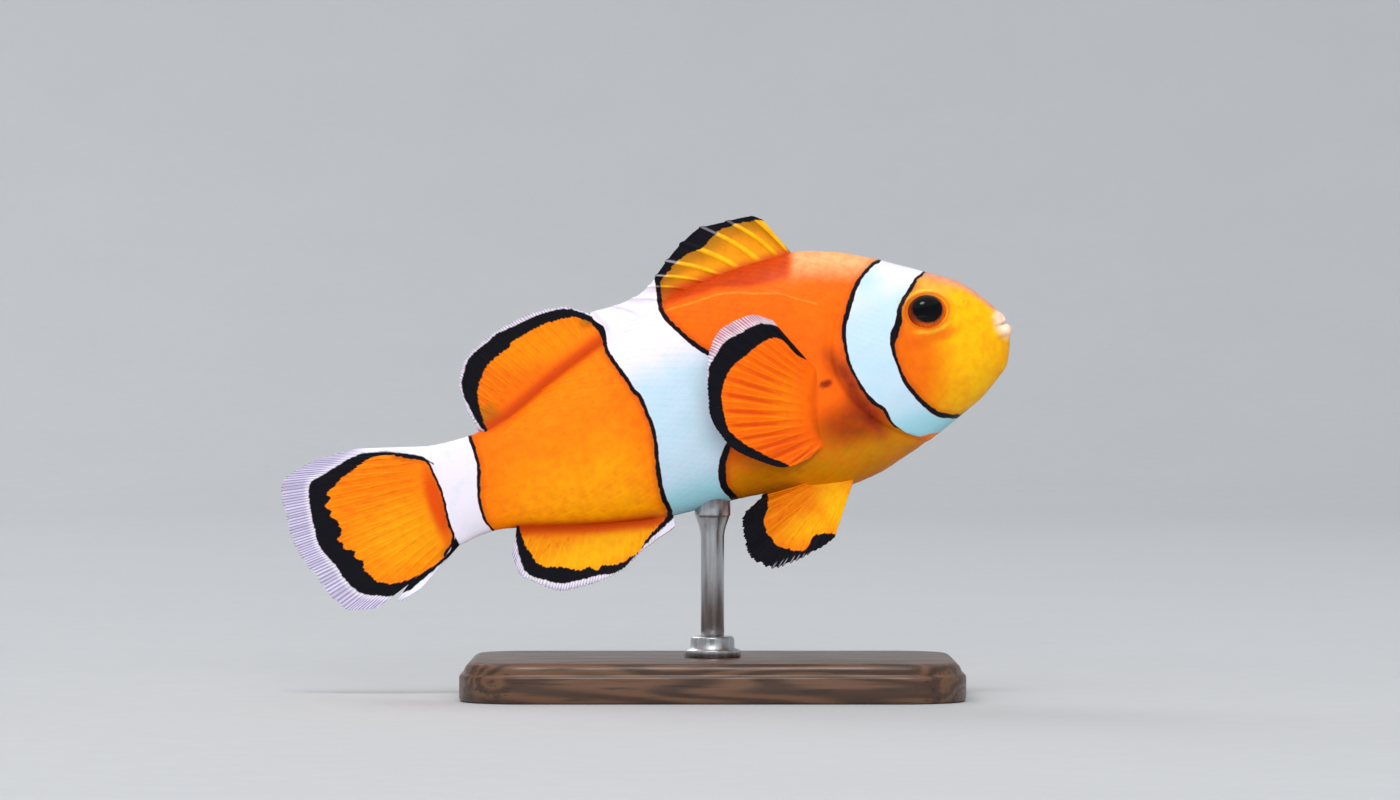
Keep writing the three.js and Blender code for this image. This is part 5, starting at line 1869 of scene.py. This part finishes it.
# %% The rod and its collar
ROD_RADIUS = 1.5
REST = base_top + 0.02  # a hair over the wood, so the two don't share a surface
turned_piece("stand_rod", [
    (ROD_RADIUS - 0.2, REST), (ROD_RADIUS, base_top + 0.2), (ROD_RADIUS, belly_up - 4),
    (ROD_RADIUS + 0.05, belly_up - 3.5), (ROD_RADIUS + 0.25, belly_up - 2.6),
    (cup_radius - 0.2, belly_up - 1.6), *rounded((cup_radius - 0.3, belly_up - 1.1), -50, 0, 0.3),
    (cup_radius, belly_up + 1.5), (cup_radius - 0.3, belly_up + 1.7)], steel)
turned_piece("stand_collar", [
    (ROD_RADIUS + 0.05, REST), (collar_radius, REST),
    *rounded((collar_radius - 0.25, base_top + 0.75), 0, 70, 0.25),
    (collar_radius - 0.75, base_top + 1.15),
    *rounded((collar_radius - 1.25, collar_top - 0.45), 10, 90, 0.45),
    (ROD_RADIUS + 0.35, collar_top), (ROD_RADIUS + 0.05, collar_top - 0.2),
    (ROD_RADIUS + 0.05, REST)], steel)

# %% [markdown]
# The wood needs a grain that runs along the base and rings that show on its edge. A noise that
# is stretched along one axis gives both, because it fills space and the base is simply cut out
# of it.

# %% Dark wood
WOOD_DARK = (0.045, 0.019, 0.009)
WOOD_LIGHT = (0.115, 0.052, 0.024)
WOOD_PORE = (0.018, 0.008, 0.004)


def wood_finish():
    finish = Finish("dark_walnut")
    rings = finish.noise(9, detail=2, stretch=(0.12, 1, 1.2))
    waves = finish.calc("SINE", finish.times(rings, 95.0))
    pores = finish.noise(0.4, detail=3, stretch=(0.05, 1, 1))
    wood = finish.mix(finish.soft(waves, -1, 1), WOOD_DARK, WOOD_LIGHT)
    wood = finish.mix(finish.soft(pores, 0.52, 0.7, 0, 0.75), wood, WOOD_PORE)
    finish.colour(wood)
    finish.rough(finish.soft(pores, 0.4, 0.7, 0.34, 0.55))
    finish.bump(pores, 0.3, 0.04)
    finish.set(Coat_Weight=0.25, Coat_Roughness=0.3)
    return finish.material


print("the wood, dark and light:", WOOD_DARK, WOOD_LIGHT)

# %% The wooden base
BASE_CORNER = 8
CORNER_POINTS = 13
EDGE_START = (0.62, 3.7)
EDGE_RADIUS = 1.3
PROFILE_TALL = 5


def base_outline(inset):
    """A rounded oblong, drawn in from the base's edge."""
    half = np.array([base_high.x, base_high.y]) / MM - BASE_CORNER
    radius = BASE_CORNER - inset
    points = []
    for quarter, (sx, sy) in enumerate(((1, 1), (-1, 1), (-1, -1), (1, -1))):
        start = 90 * quarter
        for angle in np.radians(np.linspace(start, start + 90, CORNER_POINTS)):
            x, y = sx * half[0] + radius * math.cos(angle), sy * half[1] + radius * math.sin(angle)
            points.append((x, y))
    return points


# How far in from the edge, and how high, from the chamfered foot to the groove and the round top.
base_profile = [(1.2, 0), (0.5, 0), (0.15, 0.15), (0, 0.5), (0, 3.1), (0.12, 3.35), (0.5, 3.5)]
base_profile.append(EDGE_START)
for angle in np.radians([15, 30, 45, 60, 75, 90]):
    inset = EDGE_START[0] + EDGE_RADIUS * (1 - math.cos(angle))
    base_profile.append((inset, EDGE_START[1] + EDGE_RADIUS * math.sin(angle)))
base_rings = [[(x, y, height) for x, y in base_outline(inset)] for inset, height in base_profile]
base_places = np.array(base_rings).reshape(-1, 3) * [MM, MM, base_top * MM / PROFILE_TALL]
base_faces = lidded_faces(len(base_rings), len(base_rings[0]))
make_piece("stand_base", base_places, base_faces, wood_finish(), "stand_wood", None, ["stand_base"])

# %% [markdown]
# ## The studio
#
# A pale bowl stands in for a paper sweep: its floor runs up into a wall all round, so no edge
# shows from any side. Two broad lights stand on the camera's side, one high and wide and one
# near the fish's own height, so that the flank is lit evenly down to the belly. A small one
# overhead gives the eye its glint, and one behind the fish keeps its far side from going dark.

# %% The sweep
SWEEP_FLOOR = 1.1
SWEEP_ROUND = 0.9
SWEEP_TOP = 2.2
SWEEP_POINTS = 128
sweep_profile = [(0.0001, 0), (0.3, 0), (0.7, 0), (SWEEP_FLOOR, 0)]
for angle in np.linspace(0, math.pi / 2, 16)[1:]:
    radius = SWEEP_FLOOR + SWEEP_ROUND * math.sin(angle)
    sweep_profile.append((radius, SWEEP_ROUND * (1 - math.cos(angle))))
sweep_profile.append((SWEEP_FLOOR + SWEEP_ROUND, SWEEP_TOP))
PAPER = (0.49, 0.5, 0.515)
PAPER_LIGHT = (0.52, 0.53, 0.54)


def paper_finish():
    finish = Finish("pale_paper")
    finish.colour(finish.mix(finish.noise(60), PAPER, PAPER_LIGHT))
    finish.rough(finish.soft(finish.noise(5), 0.3, 0.7, 0.75, 0.9))
    return finish.material


def make_sweep():
    around = np.arange(SWEEP_POINTS) * 2 * math.pi / SWEEP_POINTS
    places = [(r * math.cos(a), r * math.sin(a), z) for r, z in sweep_profile for a in around]
    faces = grid_faces(len(sweep_profile), SWEEP_POINTS, closed=True)
    mesh = bpy.data.meshes.new("studio_sweep")
    mesh.from_pydata(places, [], faces)
    mesh.polygons.foreach_set("use_smooth", [True] * len(mesh.polygons))
    mesh.materials.append(paper_finish())
    sweep = bpy.data.objects.new("studio_sweep", mesh)
    bpy.context.scene.collection.objects.link(sweep)
    print("studio floor across in metres:", 2 * SWEEP_FLOOR)


make_sweep()

# %% The lights
# Each has a name, a place and a size in metres, a power in watts and a colour. The last word says
# whether it shows as a highlight on wet skin.
LIGHTS = [
    ("overhead", (0.0, -0.55, 1.65), 0.4, 7, (1, 0.99, 0.975), True),
    ("front", (-0.3, -1.45, 0.9), 2.6, 16.4, (1, 0.995, 0.99), False),
    ("low_front", (0.1, -1.6, 0.34), 0.9, 16, (1, 0.99, 0.985), False),
    ("behind", (-0.7, 1.2, 1.1), 0.9, 7, (1, 0.985, 0.97), True),
]


def soft_light(name, place, size, power, colour, shine):
    """A round, soft light that is turned towards the fish."""
    data = bpy.data.lights.new(name, "AREA")
    data.shape = "DISK"
    data.size = size
    data.energy = power
    data.color = colour
    light = bpy.data.objects.new(name, data)
    light.location = place
    middle = np.array([0, 0, VIEW_MIDDLE[1] * MM])
    aim = Vector(middle - np.array(place))
    light.rotation_euler = aim.to_track_quat("-Z", "Y").to_euler()
    light.visible_camera = False
    light.visible_glossy = shine
    bpy.context.scene.collection.objects.link(light)


for light in LIGHTS:
    soft_light(*light)
print("lights:", ", ".join(light[0] for light in LIGHTS))

# %% The air
AIR_COLOUR = (0.93, 0.96, 1, 1)
AIR_STRENGTH = 0.82
world = bpy.data.worlds.new("studio_air")
world.use_nodes = True
air = world.node_tree.nodes["Background"]
air.inputs["Color"].default_value = AIR_COLOUR
air.inputs["Strength"].default_value = AIR_STRENGTH
bpy.context.scene.world = world
bpy.context.scene.view_settings.view_transform = "Standard"
print("strength of the air's light:", AIR_STRENGTH)
